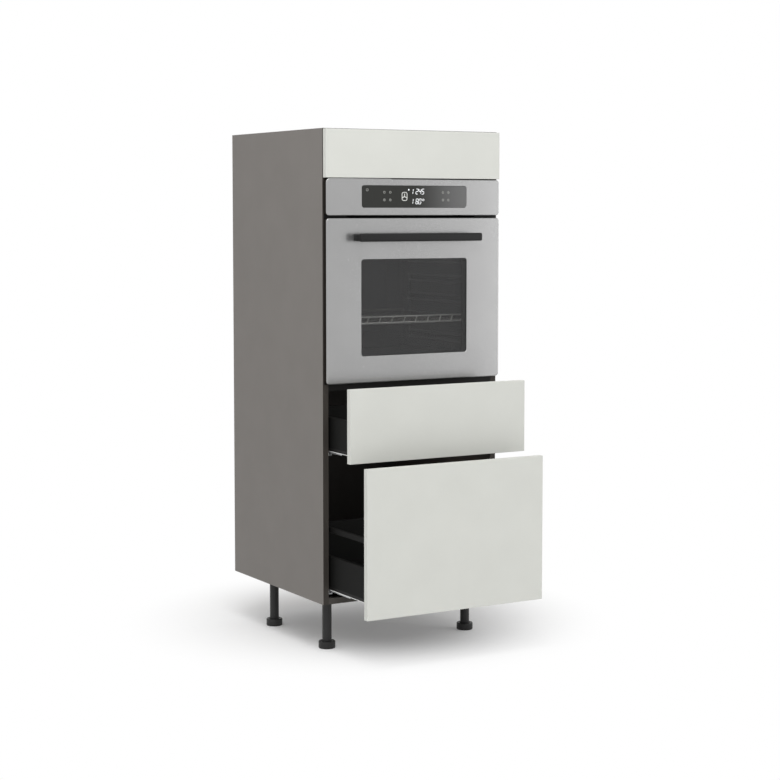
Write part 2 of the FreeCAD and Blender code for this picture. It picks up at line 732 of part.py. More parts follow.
def arm_slots(y0, y1, z0, z1):
    half = ARM_SHEET / 2 + ARM_SLOT_CLEARANCE
    slot = box(hinge_x - half, hinge_x + half, y0, y1, z0, z1)
    return pair(slot)


def control_fascia():
    fascia = pan(control_z, oven_top, frame_y - face_y)
    low = control_z + DISPLAY_RISE
    opening = rounded_plate(DISPLAY_WIDTH / 2, low, low + DISPLAY_HEIGHT, DISPLAY_RADIUS,
                            face_y, face_y + OVEN_SHEET)
    save("control_fascia", [fascia.cut(opening)])
    gap = DISPLAY_CLEARANCE
    lens = rounded_plate(DISPLAY_WIDTH / 2 - gap, low + gap, low + DISPLAY_HEIGHT - gap,
                         DISPLAY_RADIUS - gap, face_y, face_y + OVEN_SHEET)
    lap = flatted_plate(DISPLAY_WIDTH / 2 + DISPLAY_RADIUS, low - DISPLAY_RADIUS / 2,
                        low + DISPLAY_HEIGHT + DISPLAY_RADIUS / 2, DISPLAY_RADIUS,
                        face_y + OVEN_SHEET, face_y + OVEN_SHEET + DISPLAY_GLASS)
    save("display_glass", [fused([lens, lap])])

    middle = low + DISPLAY_HEIGHT / 2
    glass_back = face_y + OVEN_SHEET + DISPLAY_GLASS
    board_y = frame_y - (frame_y - glass_back) / 2
    board = box(-BOARD_WIDTH / 2, BOARD_WIDTH / 2, board_y, board_y + BOARD_SHEET,
                middle - BOARD_HEIGHT / 2, middle + BOARD_HEIGHT / 2)
    module = box(-DISPLAY_MODULE_WIDTH / 2, DISPLAY_MODULE_WIDTH / 2, glass_back, board_y,
                 middle - DISPLAY_MODULE_HEIGHT / 2, middle + DISPLAY_MODULE_HEIGHT / 2)
    spacers = []
    for x in (-BOARD_WIDTH / 2 + SPACER_INSET, BOARD_WIDTH / 2 - SPACER_INSET):
        for z in (middle - BOARD_HEIGHT / 2 + SPACER_INSET, middle + BOARD_HEIGHT / 2 - SPACER_INSET):
            spacers.append(bar(Vector(x, board_y + BOARD_SHEET, z), Vector(x, frame_y, z), SPACER_DIAMETER))
    save("control_board", [fused([board, module] + spacers)])


def door_panel():
    skin = pan(oven_z, door_top, DOOR_DEPTH)
    opening = rounded_plate(WINDOW_WIDTH / 2, window_z, window_top, WINDOW_RADIUS,
                            face_y, face_y + OVEN_SHEET)
    skin = skin.cut(opening)
    margin = WINDOW_BEVEL
    rim = [e for e in edges_on_plane(skin, 1, face_y)
           if abs(e.CenterOfMass.x) < WINDOW_WIDTH / 2 + margin
           and window_z - margin < e.CenterOfMass.z < window_top + margin]
    skin = skin.makeChamfer(WINDOW_BEVEL, rim)
    notches = arm_slots(face_y + OVEN_SHEET, door_back_y, oven_z, oven_z + OVEN_SHEET)
    save("door_panel", [holed(skin, notches)])
    window_half = WINDOW_WIDTH / 2 + WINDOW_LAP
    front = face_y + OVEN_SHEET
    save("door_window", [rounded_plate(window_half, window_z - WINDOW_LAP, window_top + WINDOW_LAP,
                                       WINDOW_RADIUS, front, front + PANE)])


def door_carrier():
    """The inner tray of the door: a liner behind the skin, a pressed tray and a duct round the window.

    The duct carries the outer pane's clips in front and, in a step at its rear, the inner pane."""
    skin_back = face_y + OVEN_SHEET
    low = oven_z + CARRIER_BOTTOM
    high = door_top - CARRIER_TOP
    sheet = LINER_SHEET
    half = recess_half - CARRIER_CLEARANCE
    radius = OVEN_CORNER_RADIUS
    tray = flatted_plate(half, low, high, radius, door_back_y, door_inner_y)
    tray_inside = flatted_plate(half - sheet, low + sheet, high - sheet, radius - sheet,
                                door_back_y - sheet, door_inner_y - sheet)
    margin = OVEN_SHEET + LINER_MARGIN
    liner = flatted_plate(oven_half - margin, oven_z + margin, door_top - margin, radius - margin,
                          door_back_y - sheet, door_back_y)

    lap = WINDOW_LAP + CARRIER_LIP
    hollow_half = WINDOW_WIDTH / 2 + lap
    hollow_low = window_z - lap
    hollow_high = window_top + lap
    wall = INNER_PANE_LAP + DUCT_WALL
    duct = box(-hollow_half - wall, hollow_half + wall, skin_back, door_inner_y,
               hollow_low - wall, hollow_high + wall)
    hollow = box(-hollow_half, hollow_half, skin_back, door_inner_y, hollow_low, hollow_high)
    pane = box(-hollow_half - INNER_PANE_LAP, hollow_half + INNER_PANE_LAP, door_inner_y - PANE, door_inner_y,
               hollow_low - INNER_PANE_LAP, hollow_high + INNER_PANE_LAP)
    slots = arm_slots(door_back_y - sheet, door_back_y, oven_z, low)
    carrier = fused([fused([tray, liner]).cut(tray_inside), duct])
    save("door_carrier", [holed(carrier, [hollow, pane] + slots)])
    save("door_inner_glass", [pane])


def door_handle():
    middle = door_top - HANDLE_DROP
    front = face_y - HANDLE_REACH
    back = front + HANDLE_DEPTH
    half = HANDLE_LENGTH / 2
    grip = box(-half, half, front, back, middle - HANDLE_HEIGHT / 2, middle + HANDLE_HEIGHT / 2)
    grip = grip.makeFillet(HANDLE_ROUND, long_edges(grip, 0, HANDLE_LENGTH))
    ends = edges_on_plane(grip, 0, half) + edges_on_plane(grip, 0, -half)
    grip = grip.makeChamfer(HANDLE_END_CHAMFER, ends)
    save("handle_bar", [grip])
    outer = half - POST_INSET
    post = box(outer - POST_WIDTH, outer, back, face_y,
               middle - POST_HEIGHT / 2, middle + POST_HEIGHT / 2)
    post = post.makeChamfer(POST_CHAMFER, long_edges(post, 1, face_y - back))
    save("handle_posts", pair(post))


# ---------------------------------------------------------------- door hinges
def hinge_arm():
    """The fixed arm: an eye at the pivot, a bar through the frame and the receiver behind it."""
    x = hinge_x
    x0 = x - ARM_SHEET / 2
    x1 = x + ARM_SHEET / 2
    eye = along_x(x0, x1, pivot_y, pivot_z, ARM_HEIGHT)
    arm = box(x0, x1, pivot_y, pivot_y + ARM_LENGTH, pivot_z - ARM_HEIGHT / 2, pivot_z + ARM_HEIGHT / 2)
    receiver = box(x - RECEIVER_WIDTH / 2, x + RECEIVER_WIDTH / 2, cavity_y, pivot_y + ARM_LENGTH,
                   pivot_z - ARM_HEIGHT / 2, pivot_z - ARM_HEIGHT / 2 + RECEIVER_HEIGHT)
    hole = along_x(x0, x1, pivot_y, pivot_z, PIN_DIAMETER + 2 * PIN_CLEARANCE)
    return fused([eye, arm, receiver]).cut(hole)


def hinge_body():
    """The moving half: two cheeks and a web inside the door, with the pin between the cheeks."""
    x = hinge_x
    gap = ARM_SHEET / 2 + CHEEK_GAP
    front = face_y + OVEN_SHEET
    rear = door_back_y - LINER_SHEET
    low = oven_z + OVEN_SHEET
    high = low + CHEEK_HEIGHT
    cheeks = [box(x - gap - CHEEK_SHEET, x - gap, front, rear, low, high),
              box(x + gap, x + gap + CHEEK_SHEET, front, rear, low, high)]
    web = box(x - gap, x + gap, front, front + CHEEK_SHEET, pivot_z + CHEEK_WEB_RISE, high)
    pin = along_x(x - gap - CHEEK_SHEET, x + gap + CHEEK_SHEET, pivot_y, pivot_z, PIN_DIAMETER)
    return fused(cheeks + [web, pin])


def hinges():
    save("hinge_arms", pair(hinge_arm()))
    save("hinge_bodies", pair(hinge_body()))


# ---------------------------------------------------------------- oven casing
def vent_slots(make_slot):
    span = VENT_SLOT_PITCH * (VENT_SLOT_COUNT - 1)
    return [make_slot(-span / 2 + VENT_SLOT_PITCH * i) for i in range(VENT_SLOT_COUNT)]


def casing():
    wrap_top = casing_top - CASING_SHEET
    wrap_rear = casing_rear - CASING_SHEET
    outside = box(-casing_half, casing_half, edge_y, wrap_rear, casing_bottom, wrap_top)
    inside = box(-casing_half + CASING_SHEET, casing_half - CASING_SHEET, edge_y, wrap_rear,
                 casing_bottom + CASING_SHEET, wrap_top)
    save("oven_casing", [outside.cut(inside)])

    cover = box(-casing_half, casing_half, edge_y, casing_rear, wrap_top, casing_top)
    half_slot = VENT_SLOT_WIDTH / 2
    slot_end = casing_rear - VENT_FROM_EDGE
    slots = vent_slots(lambda x: box(x - half_slot, x + half_slot, slot_end - VENT_SLOT_LENGTH,
                                     slot_end, wrap_top, casing_top))
    save("oven_top_cover", [holed(cover, slots)])

    rear = box(-casing_half, casing_half, wrap_rear, casing_rear, casing_bottom, wrap_top)
    slot_top = wrap_top - VENT_FROM_EDGE
    slots = vent_slots(lambda x: box(x - half_slot, x + half_slot, wrap_rear, casing_rear,
                                     slot_top - VENT_SLOT_LENGTH, slot_top))
    save("oven_rear_cover", [holed(rear, slots)])


def front_frame():
    """The frame that the oven hangs on: a flange on the carcass edges and a recess for the door."""
    flange_half = oven_half - FRAME_MARGIN
    flange = box(-flange_half, flange_half, frame_y, edge_y, oven_z - FRAME_BOTTOM, oven_top - FRAME_MARGIN)
    sheet = FRAME_SHEET
    wall = box(-recess_half - sheet, recess_half + sheet, edge_y, recess_y + sheet,
               recess_bottom - sheet, recess_top + sheet)
    recess = box(-recess_half, recess_half, frame_y, recess_y, recess_bottom, recess_top)
    mouth = flatted_plate(cavity_half, cavity_floor, cavity_top, CAVITY_RADIUS, recess_y, recess_y + sheet)
    half = EXHAUST_WIDTH / 2
    middle = door_top + DOOR_SLOT / 2
    exhaust = box(-half, half, frame_y, edge_y, middle - EXHAUST_HEIGHT / 2, middle + EXHAUST_HEIGHT / 2)
    slots = arm_slots(recess_y, recess_y + sheet, recess_bottom,
                      pivot_z + ARM_HEIGHT / 2 + ARM_SLOT_CLEARANCE)
    frame = fused([flange, wall])
    save("oven_front_frame", [holed(frame, [recess, mouth, exhaust] + slots)])


def cavity_block(grow, y0, y1):
    return flatted_plate(cavity_half + grow, cavity_floor - grow, cavity_top + grow,
                         CAVITY_RADIUS + grow, y0, y1)


def lamp_neck(y0, y1, diameter):
    x = LAMP_SIDE - cavity_half
    z = cavity_top - LAMP_DROP
    return bar(Vector(x, y0, z), Vector(x, y1, z), diameter, TURNED_SIDES)


def cavity():
    outer = cavity_block(CAVITY_SHEET, cavity_y, cavity_back + CAVITY_SHEET)
    inner = cavity_block(0, cavity_y, cavity_back)
    wall_rear = cavity_back + CAVITY_SHEET
    shaft_hole = along_y(0, cavity_back, wall_rear, fan_z, SHAFT_DIAMETER + 2 * SHAFT_CLEARANCE)
    lamp_hole = lamp_neck(cavity_back, wall_rear, LAMP_SOCKET_DIAMETER)
    save("oven_cavity", [outer.cut(inner).cut(shaft_hole).cut(lamp_hole)])

    gap = CAVITY_SHEET + INSULATION_CLEARANCE
    blanket = cavity_block(gap + INSULATION, cavity_y, insulation_rear)
    space = box(-cavity_half - gap, cavity_half + gap, cavity_y, cavity_back + gap,
                cavity_floor - gap, cavity_top + gap)
    shaft_way = along_y(0, cavity_back, insulation_rear, fan_z, SHAFT_DIAMETER + 2 * CAVITY_SHEET)
    lamp_way = lamp_neck(cavity_back, insulation_rear, LAMP_SOCKET_DIAMETER + CAVITY_SHEET)
    save("oven_insulation", [blanket.cut(space).cut(shaft_way).cut(lamp_way)])

    seal_back = recess_y
    seal_front = door_inner_y + SEAL_GAP
    ring = flatted_plate(cavity_half + SEAL_WIDTH, cavity_floor - SEAL_WIDTH, cavity_top + SEAL_WIDTH,
                         CAVITY_RADIUS + SEAL_WIDTH, seal_front, seal_back)
    ring = ring.cut(cavity_block(0, seal_front, seal_back))
    save("door_seal", [ring])


# ---------------------------------------------------------------- shelf and ladders
first_level_z = cavity_floor + LADDER_FIRST_LEVEL
last_level_z = cavity_top - LADDER_TOP_SPACE - ROD - LADDER_GUIDE_GAP


def level_z(level):
    """Centre of the rod that carries a shelf at this level."""
    return first_level_z + (last_level_z - first_level_z) * level / (LADDER_LEVELS - 1)


def ladder():
    """The wire side rack on the right: pairs of rails on uprights that stand off the wall."""
    upright_x = cavity_half - LADDER_STAND_OFF
    rail_x = upright_x - LADDER_RAIL_OFFSET
    front = cavity_y + LADDER_FRONT
    rear = cavity_back - LADDER_REAR
    low = level_z(0) - ROD
    high = level_z(LADDER_LEVELS - 1) + LADDER_GUIDE_GAP + ROD
    rods = []
    for y in (front + ROD, rear - ROD):
        rods.append(bar(Vector(upright_x, y, low), Vector(upright_x, y, high), ROD))
        for z in (low + ROD, high - ROD):
            rods.append(bar(Vector(upright_x, y, z), Vector(cavity_half, y, z), THIN_ROD))
    for level in range(LADDER_LEVELS):
        for z in (level_z(level), level_z(level) + LADDER_GUIDE_GAP):
            rods.append(bar(Vector(rail_x, front, z), Vector(rail_x, rear, z), ROD))
    return fused(rods)


def wire_shelf():
    """A chromed grid: a frame of thick rod, thin bars from front to back, a raised fence behind."""
    half = cavity_half - SHELF_INSET
    z = level_z(SHELF_LEVEL) + ROD
    front = cavity_y + SHELF_FRONT
    rear = cavity_back - SHELF_REAR
    fence = z + SHELF_FENCE
    past = ROD / 2
    rods = []
    for x in (-half, half):
        rods.append(bar(Vector(x, front - past, z), Vector(x, rear + past, z), ROD))
    for y in (front, rear):
        rods.append(bar(Vector(-half, y, z), Vector(half, y, z), ROD))
    inner = half - SHELF_INSET
    rods.append(bar(Vector(-inner - past, rear, fence), Vector(inner + past, rear, fence), ROD))
    for x in (-inner, inner):
        rods.append(bar(Vector(x, rear, z), Vector(x, rear, fence), ROD))
    span = SHELF_BAR_PITCH * (SHELF_BARS - 1)
    for i in range(SHELF_BARS):
        x = -span / 2 + SHELF_BAR_PITCH * i
        rods.append(bar(Vector(x, front, z), Vector(x, rear, z), THIN_ROD))
    return fused(rods)


# ---------------------------------------------------------------- fan, heaters and lamp
def fan_cover():
    front = cavity_back - FAN_COVER_DEPTH
    half = fan_cover_half_width
    low = fan_z - fan_cover_half_height
    high = fan_z + fan_cover_half_height
    sheet = FAN_COVER_SHEET
    outer = flatted_plate(half, low, high, FAN_COVER_RADIUS, front, cavity_back)
    inner = flatted_plate(half - sheet, low + sheet, high - sheet, FAN_COVER_RADIUS - sheet,
                          front + sheet, cavity_back)
    axis = Vector(0, front, fan_z)
    slot = box(FAN_INTAKE_INNER, FAN_INTAKE_OUTER, front, front + sheet,
               fan_z - FAN_INTAKE_WIDTH / 2, fan_z + FAN_INTAKE_WIDTH / 2)
    tools = []
    for i in range(FAN_INTAKE_SLOTS):
        tools.append(slot.rotated(axis, Vector(0, 1, 0), 360.0 * i / FAN_INTAKE_SLOTS))
    middle_y = cavity_back - FAN_COVER_DEPTH / 2
    span = FAN_OUTLET_PITCH * (FAN_OUTLET_SLOTS - 1)
    for i in range(FAN_OUTLET_SLOTS):
        z = fan_z - span / 2 + FAN_OUTLET_PITCH * i
        tools.append(box(-half, half, middle_y - FAN_OUTLET_WIDTH / 2, middle_y + FAN_OUTLET_WIDTH / 2,
                         z - FAN_OUTLET_LENGTH / 2, z + FAN_OUTLET_LENGTH / 2))
    return holed(outer.cut(inner), tools)


def blade():
    """One bowed blade, folded along two lines and set at a slant to the radius."""
    outer = impeller_radius - IMPELLER_SHEET
    inner = outer - BLADE_LENGTH
    rear = cavity_back - IMPELLER_FROM_WALL - IMPELLER_SHEET
    front = cavity_back - IMPELLER_FROM_WALL - IMPELLER_DEPTH
    third = BLADE_LENGTH / 3
    near = [(inner, fan_z), (inner + third, fan_z + BLADE_BOW),
            (outer - third, fan_z + BLADE_BOW), (outer, fan_z)]
    far = [(x, z + IMPELLER_SHEET) for x, z in reversed(near)]
    plate = section_along_y(near + far, front, rear)
    return plate.rotated(Vector(inner, front, fan_z), Vector(0, 1, 0), BLADE_TURN)


def fan_impeller():
    """A centrifugal wheel: a disc with bowed blades, a hub and the shaft that enters the motor."""
    rear = cavity_back - IMPELLER_FROM_WALL
    front = rear - IMPELLER_DEPTH
    axis = Vector(0, front, fan_z)
    start = Vector(0, rear - IMPELLER_SHEET, fan_z)
    disc = bar(start, Vector(0, rear, fan_z), 2 * impeller_radius, 2 * TURNED_SIDES)
    hub = bar(Vector(0, rear - HUB_LENGTH, fan_z), start, HUB_DIAMETER, TURNED_SIDES)
    shaft_end = insulation_rear + MOTOR_FLANGE + MOTOR_BORE_DEPTH - SHAFT_DIAMETER
    shaft = along_y(0, rear - IMPELLER_SHEET, shaft_end, fan_z, SHAFT_DIAMETER)
    one = blade()
    blades = [one.rotated(axis, Vector(0, 1, 0), 360.0 * i / IMPELLER_BLADES) for i in range(IMPELLER_BLADES)]
    return fused([disc, hub, shaft] + blades)


def fan_motor():
    start = insulation_rear + MOTOR_FLANGE
    end = start + MOTOR_LENGTH
    flange = bar(Vector(0, insulation_rear, fan_z), Vector(0, start, fan_z),
                 MOTOR_FLANGE_DIAMETER, TURNED_SIDES)
    body = bar(Vector(0, start, fan_z), Vector(0, end, fan_z), MOTOR_DIAMETER, TURNED_SIDES)
    body = body.makeChamfer(MOTOR_CHAMFER, edges_on_plane(body, 1, end))
    bore = along_y(0, insulation_rear, start + MOTOR_BORE_DEPTH, fan_z, SHAFT_DIAMETER + 2 * SHAFT_CLEARANCE)
    return fused([flange, body]).cut(bore)


def ring_element():
    """An open ring of heating tube round the fan, with both ends turned back into the wall."""
    y = cavity_back - RING_FROM_WALL
    radius = ring_radius
    gap = math.asin(RING_TERMINAL_SPACING / 2 / radius)
    points = []
    for i in range(RING_STEPS + 1):
        turn = gap + (2 * math.pi - 2 * gap) * i / RING_STEPS
        points.append(Vector(radius * math.sin(turn), y, fan_z - radius * math.cos(turn)))
    first = Vector(points[0].x, cavity_back, points[0].z)
    last = Vector(points[-1].x, cavity_back, points[-1].z)
    return bent_tube([first] + points + [last], HEATER_TUBE)


def grill_element():
    """A heating tube in long runs under the roof, held by its two ends in the back wall."""
    z = cavity_top - GRILL_DROP
    near = cavity_y + GRILL_FRONT
    far = cavity_back - GRILL_REAR
    radius = GRILL_RUN_PITCH / 2
    span = GRILL_RUN_PITCH * (GRILL_RUNS - 1)
    points = [Vector(-span / 2, cavity_back, z)]
    for i in range(GRILL_RUNS - 1):
        centre_x = -span / 2 + GRILL_RUN_PITCH * i + radius
        turn_y, bulge = (near, -radius) if i % 2 == 0 else (far, radius)
        for step in range(GRILL_TURN_STEPS + 1):
            turn = math.pi * step / GRILL_TURN_STEPS
            points.append(Vector(centre_x - radius * math.cos(turn), turn_y + bulge * math.sin(turn), z))
    points.append(Vector(span / 2, cavity_back, z))
    return bent_tube(points, HEATER_TUBE)


def oven_lamp():
    """A lamp in the back wall: glass dome inside the cavity and the socket behind."""
    front = cavity_back - LAMP_LENS_DEPTH
    dome = lamp_neck(front, cavity_back, LAMP_LENS_DIAMETER)
    dome = dome.makeChamfer(LAMP_LENS_CHAMFER, edges_on_plane(dome, 1, front))
    neck = lamp_neck(cavity_back, cavity_back + LAMP_SOCKET_LENGTH, LAMP_SOCKET_DIAMETER)
    return fused([dome, neck])


def terminal_box():
    x = TERMINAL_SIDE - casing_half
    low = casing_top - TERMINAL_DROP - TERMINAL_HEIGHT
    rear = casing_rear + TERMINAL_DEPTH
    cover = box(x - TERMINAL_WIDTH / 2, x + TERMINAL_WIDTH / 2, casing_rear, rear, low, low + TERMINAL_HEIGHT)
    cover = cover.makeChamfer(OVEN_EDGE_CHAMFER, edges_on_plane(cover, 1, rear))
    y = casing_rear + TERMINAL_DEPTH / 2
    gland = upright(x, y, low - TERMINAL_GLAND_LENGTH, low, TERMINAL_GLAND_DIAMETER)
    bore = upright(x, y, low - TERMINAL_GLAND_LENGTH, low + TERMINAL_GLAND_LENGTH, TERMINAL_GLAND_BORE)
    return fused([cover, gland]).cut(bore)


def oven():
    control_fascia()
    door_panel()
    door_carrier()
    door_handle()
    hinges()
    casing()
    front_frame()
    cavity()
    save("shelf_ladders", pair(ladder()))
    save("wire_shelf", [wire_shelf()])
    save("fan_cover", [fan_cover()])
    save("fan_impeller", [fan_impeller()])
    save("fan_motor", [fan_motor()])
    save("ring_element", [ring_element()])
    save("grill_element", [grill_element()])
    save("oven_lamp", [oven_lamp()])
    save("terminal_box", [terminal_box()])


os.makedirs("parts", exist_ok=True)
carcass()
top_fascia()
legs()
drawers()
oven()
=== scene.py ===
import json
from math import asin, cos, degrees, pi, radians, sin

import bmesh
import bpy
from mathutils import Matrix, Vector

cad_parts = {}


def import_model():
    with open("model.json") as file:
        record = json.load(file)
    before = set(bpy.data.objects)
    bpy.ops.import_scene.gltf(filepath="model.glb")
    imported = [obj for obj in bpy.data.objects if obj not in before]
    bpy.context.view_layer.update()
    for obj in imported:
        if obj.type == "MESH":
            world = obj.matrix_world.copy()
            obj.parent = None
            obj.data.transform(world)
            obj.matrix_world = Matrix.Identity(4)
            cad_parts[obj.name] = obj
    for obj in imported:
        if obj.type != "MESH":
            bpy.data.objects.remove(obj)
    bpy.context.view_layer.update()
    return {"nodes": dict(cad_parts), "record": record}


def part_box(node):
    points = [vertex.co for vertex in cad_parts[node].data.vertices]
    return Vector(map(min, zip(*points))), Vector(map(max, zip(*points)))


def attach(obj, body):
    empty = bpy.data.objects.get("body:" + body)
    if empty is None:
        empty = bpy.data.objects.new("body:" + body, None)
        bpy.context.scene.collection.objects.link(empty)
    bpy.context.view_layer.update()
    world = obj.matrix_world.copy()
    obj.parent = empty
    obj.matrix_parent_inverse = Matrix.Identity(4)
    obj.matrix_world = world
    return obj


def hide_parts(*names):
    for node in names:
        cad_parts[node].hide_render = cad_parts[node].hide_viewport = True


# The looks of a tall oven housing unit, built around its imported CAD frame.  Metres, +Z up, the fronts
# face -Y.  Places come from the frame's nodes; the sizes below are those that the frame doesn't hold.
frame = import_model()

# ---------------- camera, from the photograph's edges
IMAGE_SIDE = 780  # px
FOCAL_PX = 1829.0
RISE_PX = 38.0  # the picture's middle, above the axis of the lens
SENSOR_MM = 36.0
CAMERA_PLACE = (-2.798, -4.834, 1.301)
CAMERA_YAW = radians(30.29)
CAMERA_PITCH = radians(4.4)
CAMERA_REACH = 200.0

# ---------------- colours, as they are seen (sRGB)
# A tint is a colour, its darker patches and, where edges wear, the colour of worn edges.
SIDE_GREY = ("7f7b77", "7c7874")
SIDE_EDGE = ("423e3a", "3d3935")
BOARD_DARK = ("252322", "211f1e")
BOARD_WORN = "4a4744"
BACK_REAR = ("6b5740", "665239")
CHIPBOARD = ("8f7c62", "6d5b45")
SILVER = ("a4a4a4", "a0a0a0", "c4c4c4")
# painted shade: the dark colour of the oven front's walls that turn back
SILVER_WALL_PAINTED_SHADE = "262320"
CAVITY_ENAMEL = ("121214", "101012", "1c1c1e")
ENAMEL_SPECKLE = "1a1a1d"
RAIL_COAT = ("171716", "1f1f1e")
# the runner's bare lip, brightened to near white: bare metal with a painted highlight
RAIL_LIP_BARE_AND_GLINT = "f2f2f0"
GALVANISED = ("a3a6a8", "989b9d", "b9bbbd")
SPANGLE = "c2c5c7"
GLASS_BLACK = ("0d0d0d", "0b0b0b")
DISPLAY_LEFT = "1f201c"
# painted reflection: the colour that the display glass reaches at its right end
DISPLAY_PAINTED_REFLECTION = "686868"
FLOOR_WHITE = "ffffff"


def linear(code):
    """A colour written as RRGGBB, as the linear values that a shader takes."""
    values = [int(code[i:i + 2], 16) / 255 for i in (0, 2, 4)]
    return tuple(v / 12.92 if v <= 0.04045 else ((v + 0.055) / 1.055) ** 2.4 for v in values) + (1.0,)


# ---------------- node helpers
NOISE_LOW, NOISE_HIGH = 0.3, 0.7  # where most of a noise's values lie
WEAR_WIDTH = 0.0015
WEAR_START, WEAR_FULL = 0.999, 0.93  # cosines between the true and the rounded normal
FACING_LEAST = 0.7  # cosine
LEFT, RIGHT, REAR, BELOW, ABOVE = (0, -1), (0, 1), (1, 1), (2, -1), (2, 1)  # an axis and a sign


def connect(tree, node, inputs):
    """Fills a node's inputs, named or numbered, with values or with other nodes' sockets."""
    for key, value in inputs.items():
        if isinstance(value, bpy.types.NodeSocket):
            tree.links.new(value, node.inputs[key])
        else:
            node.inputs[key].default_value = value


def add(tree, kind, inputs, output=0, **settings):
    """The output of a new shader node."""
    node = tree.nodes.new("ShaderNode" + kind)
    for key, value in settings.items():
        setattr(node, key, value)
    connect(tree, node, inputs)
    return node.outputs[output]


def calculated(tree, operation, *values):
    return add(tree, "Math", dict(enumerate(values)), operation=operation)


def ranged(tree, value, from_low, from_high, to_low=0.0, to_high=1.0, smooth=False):
    """A value taken from one range to another, held at the ends."""
    inputs = {"Value": value, "From Min": from_low, "From Max": from_high, "To Min": to_low,
              "To Max": to_high}
    return add(tree, "MapRange", inputs, interpolation_type="SMOOTHSTEP" if smooth else "LINEAR")


def object_space(tree, stretch=(1, 1, 1)):
    """The place on the object, in its own metres; stretch squeezes a pattern along an axis, for grain."""
    place = add(tree, "TexCoord", {}, "Object")
    return add(tree, "Mapping", {"Vector": place, "Scale": stretch})


def part_of(tree, vector, axis):
    """One of a vector's three numbers."""
    return add(tree, "SeparateXYZ", {0: vector}, axis)


def noise(tree, scale, stretch=(1, 1, 1)):
    """A noise that is spread over 0 to 1."""
    inputs = {"Vector": object_space(tree, stretch), "Scale": scale, "Detail": 4.0}
    return ranged(tree, add(tree, "TexNoise", inputs, "Fac"), NOISE_LOW, NOISE_HIGH)


def cells(tree, scale):
    """A value from 0 to 1 that is even within each cell, for spangle and chips."""
    inputs = {"Vector": object_space(tree), "Scale": scale}
    return part_of(tree, add(tree, "TexVoronoi", inputs, "Color"), "X")


def mixed(tree, factor, first, second):
    """Two colours mixed; each is an RRGGBB code or a socket."""
    first, second = [linear(value) if isinstance(value, str) else value for value in (first, second)]
    return add(tree, "Mix", {0: factor, 6: first, 7: second}, 2, data_type="RGBA")


def patchy(tree, share, tint):
    """A tint's colour and its darker patches; share says how much of the first shows."""
    return mixed(tree, share, tint[1], tint[0])


def edge_wear(tree):
    """1 on sharp edges and 0 elsewhere, from the angle between the true and the rounded normal."""
    soft = add(tree, "Bevel", {"Radius": WEAR_WIDTH}, samples=4)
    true = add(tree, "NewGeometry", {}, "Normal")
    dot = add(tree, "VectorMath", {0: soft, 1: true}, "Value", operation="DOT_PRODUCT")
    return ranged(tree, dot, WEAR_START, WEAR_FULL)


def facing(tree, direction):
    """1 where the surface faces this way along the object's own axis."""
    axis, sign = direction
    normal = add(tree, "TexCoord", {}, "Normal")
    along = calculated(tree, "MULTIPLY", part_of(tree, normal, axis), sign)
    return calculated(tree, "GREATER_THAN", along, FACING_LEAST)


def place_along(tree, axis):
    return part_of(tree, object_space(tree), axis)


def new_material(name):
    material = bpy.data.materials.new(name)
    material.use_nodes = True
    return material, material.node_tree, material.node_tree.nodes["Principled BSDF"]


def recoloured(tree, mask, colour):
    """Gives the material another colour, a code or a socket, where the mask is 1."""
    base = tree.nodes["Principled BSDF"].inputs["Base Color"]
    tree.links.new(mixed(tree, mask, base.links[0].from_socket, colour), base)


# ---------------- finishes
PATCH_SCALE = 9.0
CHIP_SCALE = 420.0
SPANGLE_SCALE = 90.0
SPANGLE_SHARE = 0.25
SPECKLE_SCALE = 900.0
SPECKLE_LEAST = 0.93
EDGE_ROUND = 0.0026  # of the oven's front
SILVER_METAL = 0.78
SILVER_GLOSS = 0.25
DISPLAY_REFLECTION_START = 0.1  # where the painted reflection sets in, left of the middle, as a share of the glass's half width
PANE_INDEX = 1.9
PANE_BORDER = 0.022
RAIL_LIP = 0.0018


def finish(name, tint, rough, grain=900, bump=0.15, depth=0.0002, metal=0.0, stretch=(1, 1, 1),
           patch=PATCH_SCALE, wear=0.35, gloss_spread=0.05, specular=0.5):
    """A surface with slow colour variation, fine bump, uneven gloss and, if its tint says so, worn edges."""
    material, tree, shader = new_material(name)
    connect(tree, shader, {"Base Color": patchy(tree, noise(tree, patch), tint)})
    if len(tint) > 2:
        recoloured(tree, calculated(tree, "MULTIPLY", edge_wear(tree), wear), tint[2])
    fine = noise(tree, grain, stretch)
    connect(tree, shader, {
        "Roughness": ranged(tree, fine, 0.0, 1.0, rough - gloss_spread, rough + gloss_spread),
        "Metallic": metal, "Specular IOR Level": specular,
        "Normal": add(tree, "Bump", {"Strength": bump, "Distance": depth, "Height": fine}),
    })
    return material, tree, shader


def plain(*values, **settings):
    return finish(*values, **settings)[0]


def board(name, tint, raw=(REAR,), outer=None, outer_tint=None):
    """Coated chipboard. Raw lists the directions of its uncoated edges; outer is the direction of a face
    that has another tint than the rest."""
    tint = (*tint, BOARD_WORN)
    material, tree, _ = finish(name, tint, 0.55, grain=700, bump=0.1, wear=0.25, specular=0.2)
    if outer:
        recoloured(tree, facing(tree, outer), patchy(tree, noise(tree, PATCH_SCALE), outer_tint))
    for direction in raw:
        recoloured(tree, facing(tree, direction), patchy(tree, cells(tree, CHIP_SCALE), CHIPBOARD))
    return material


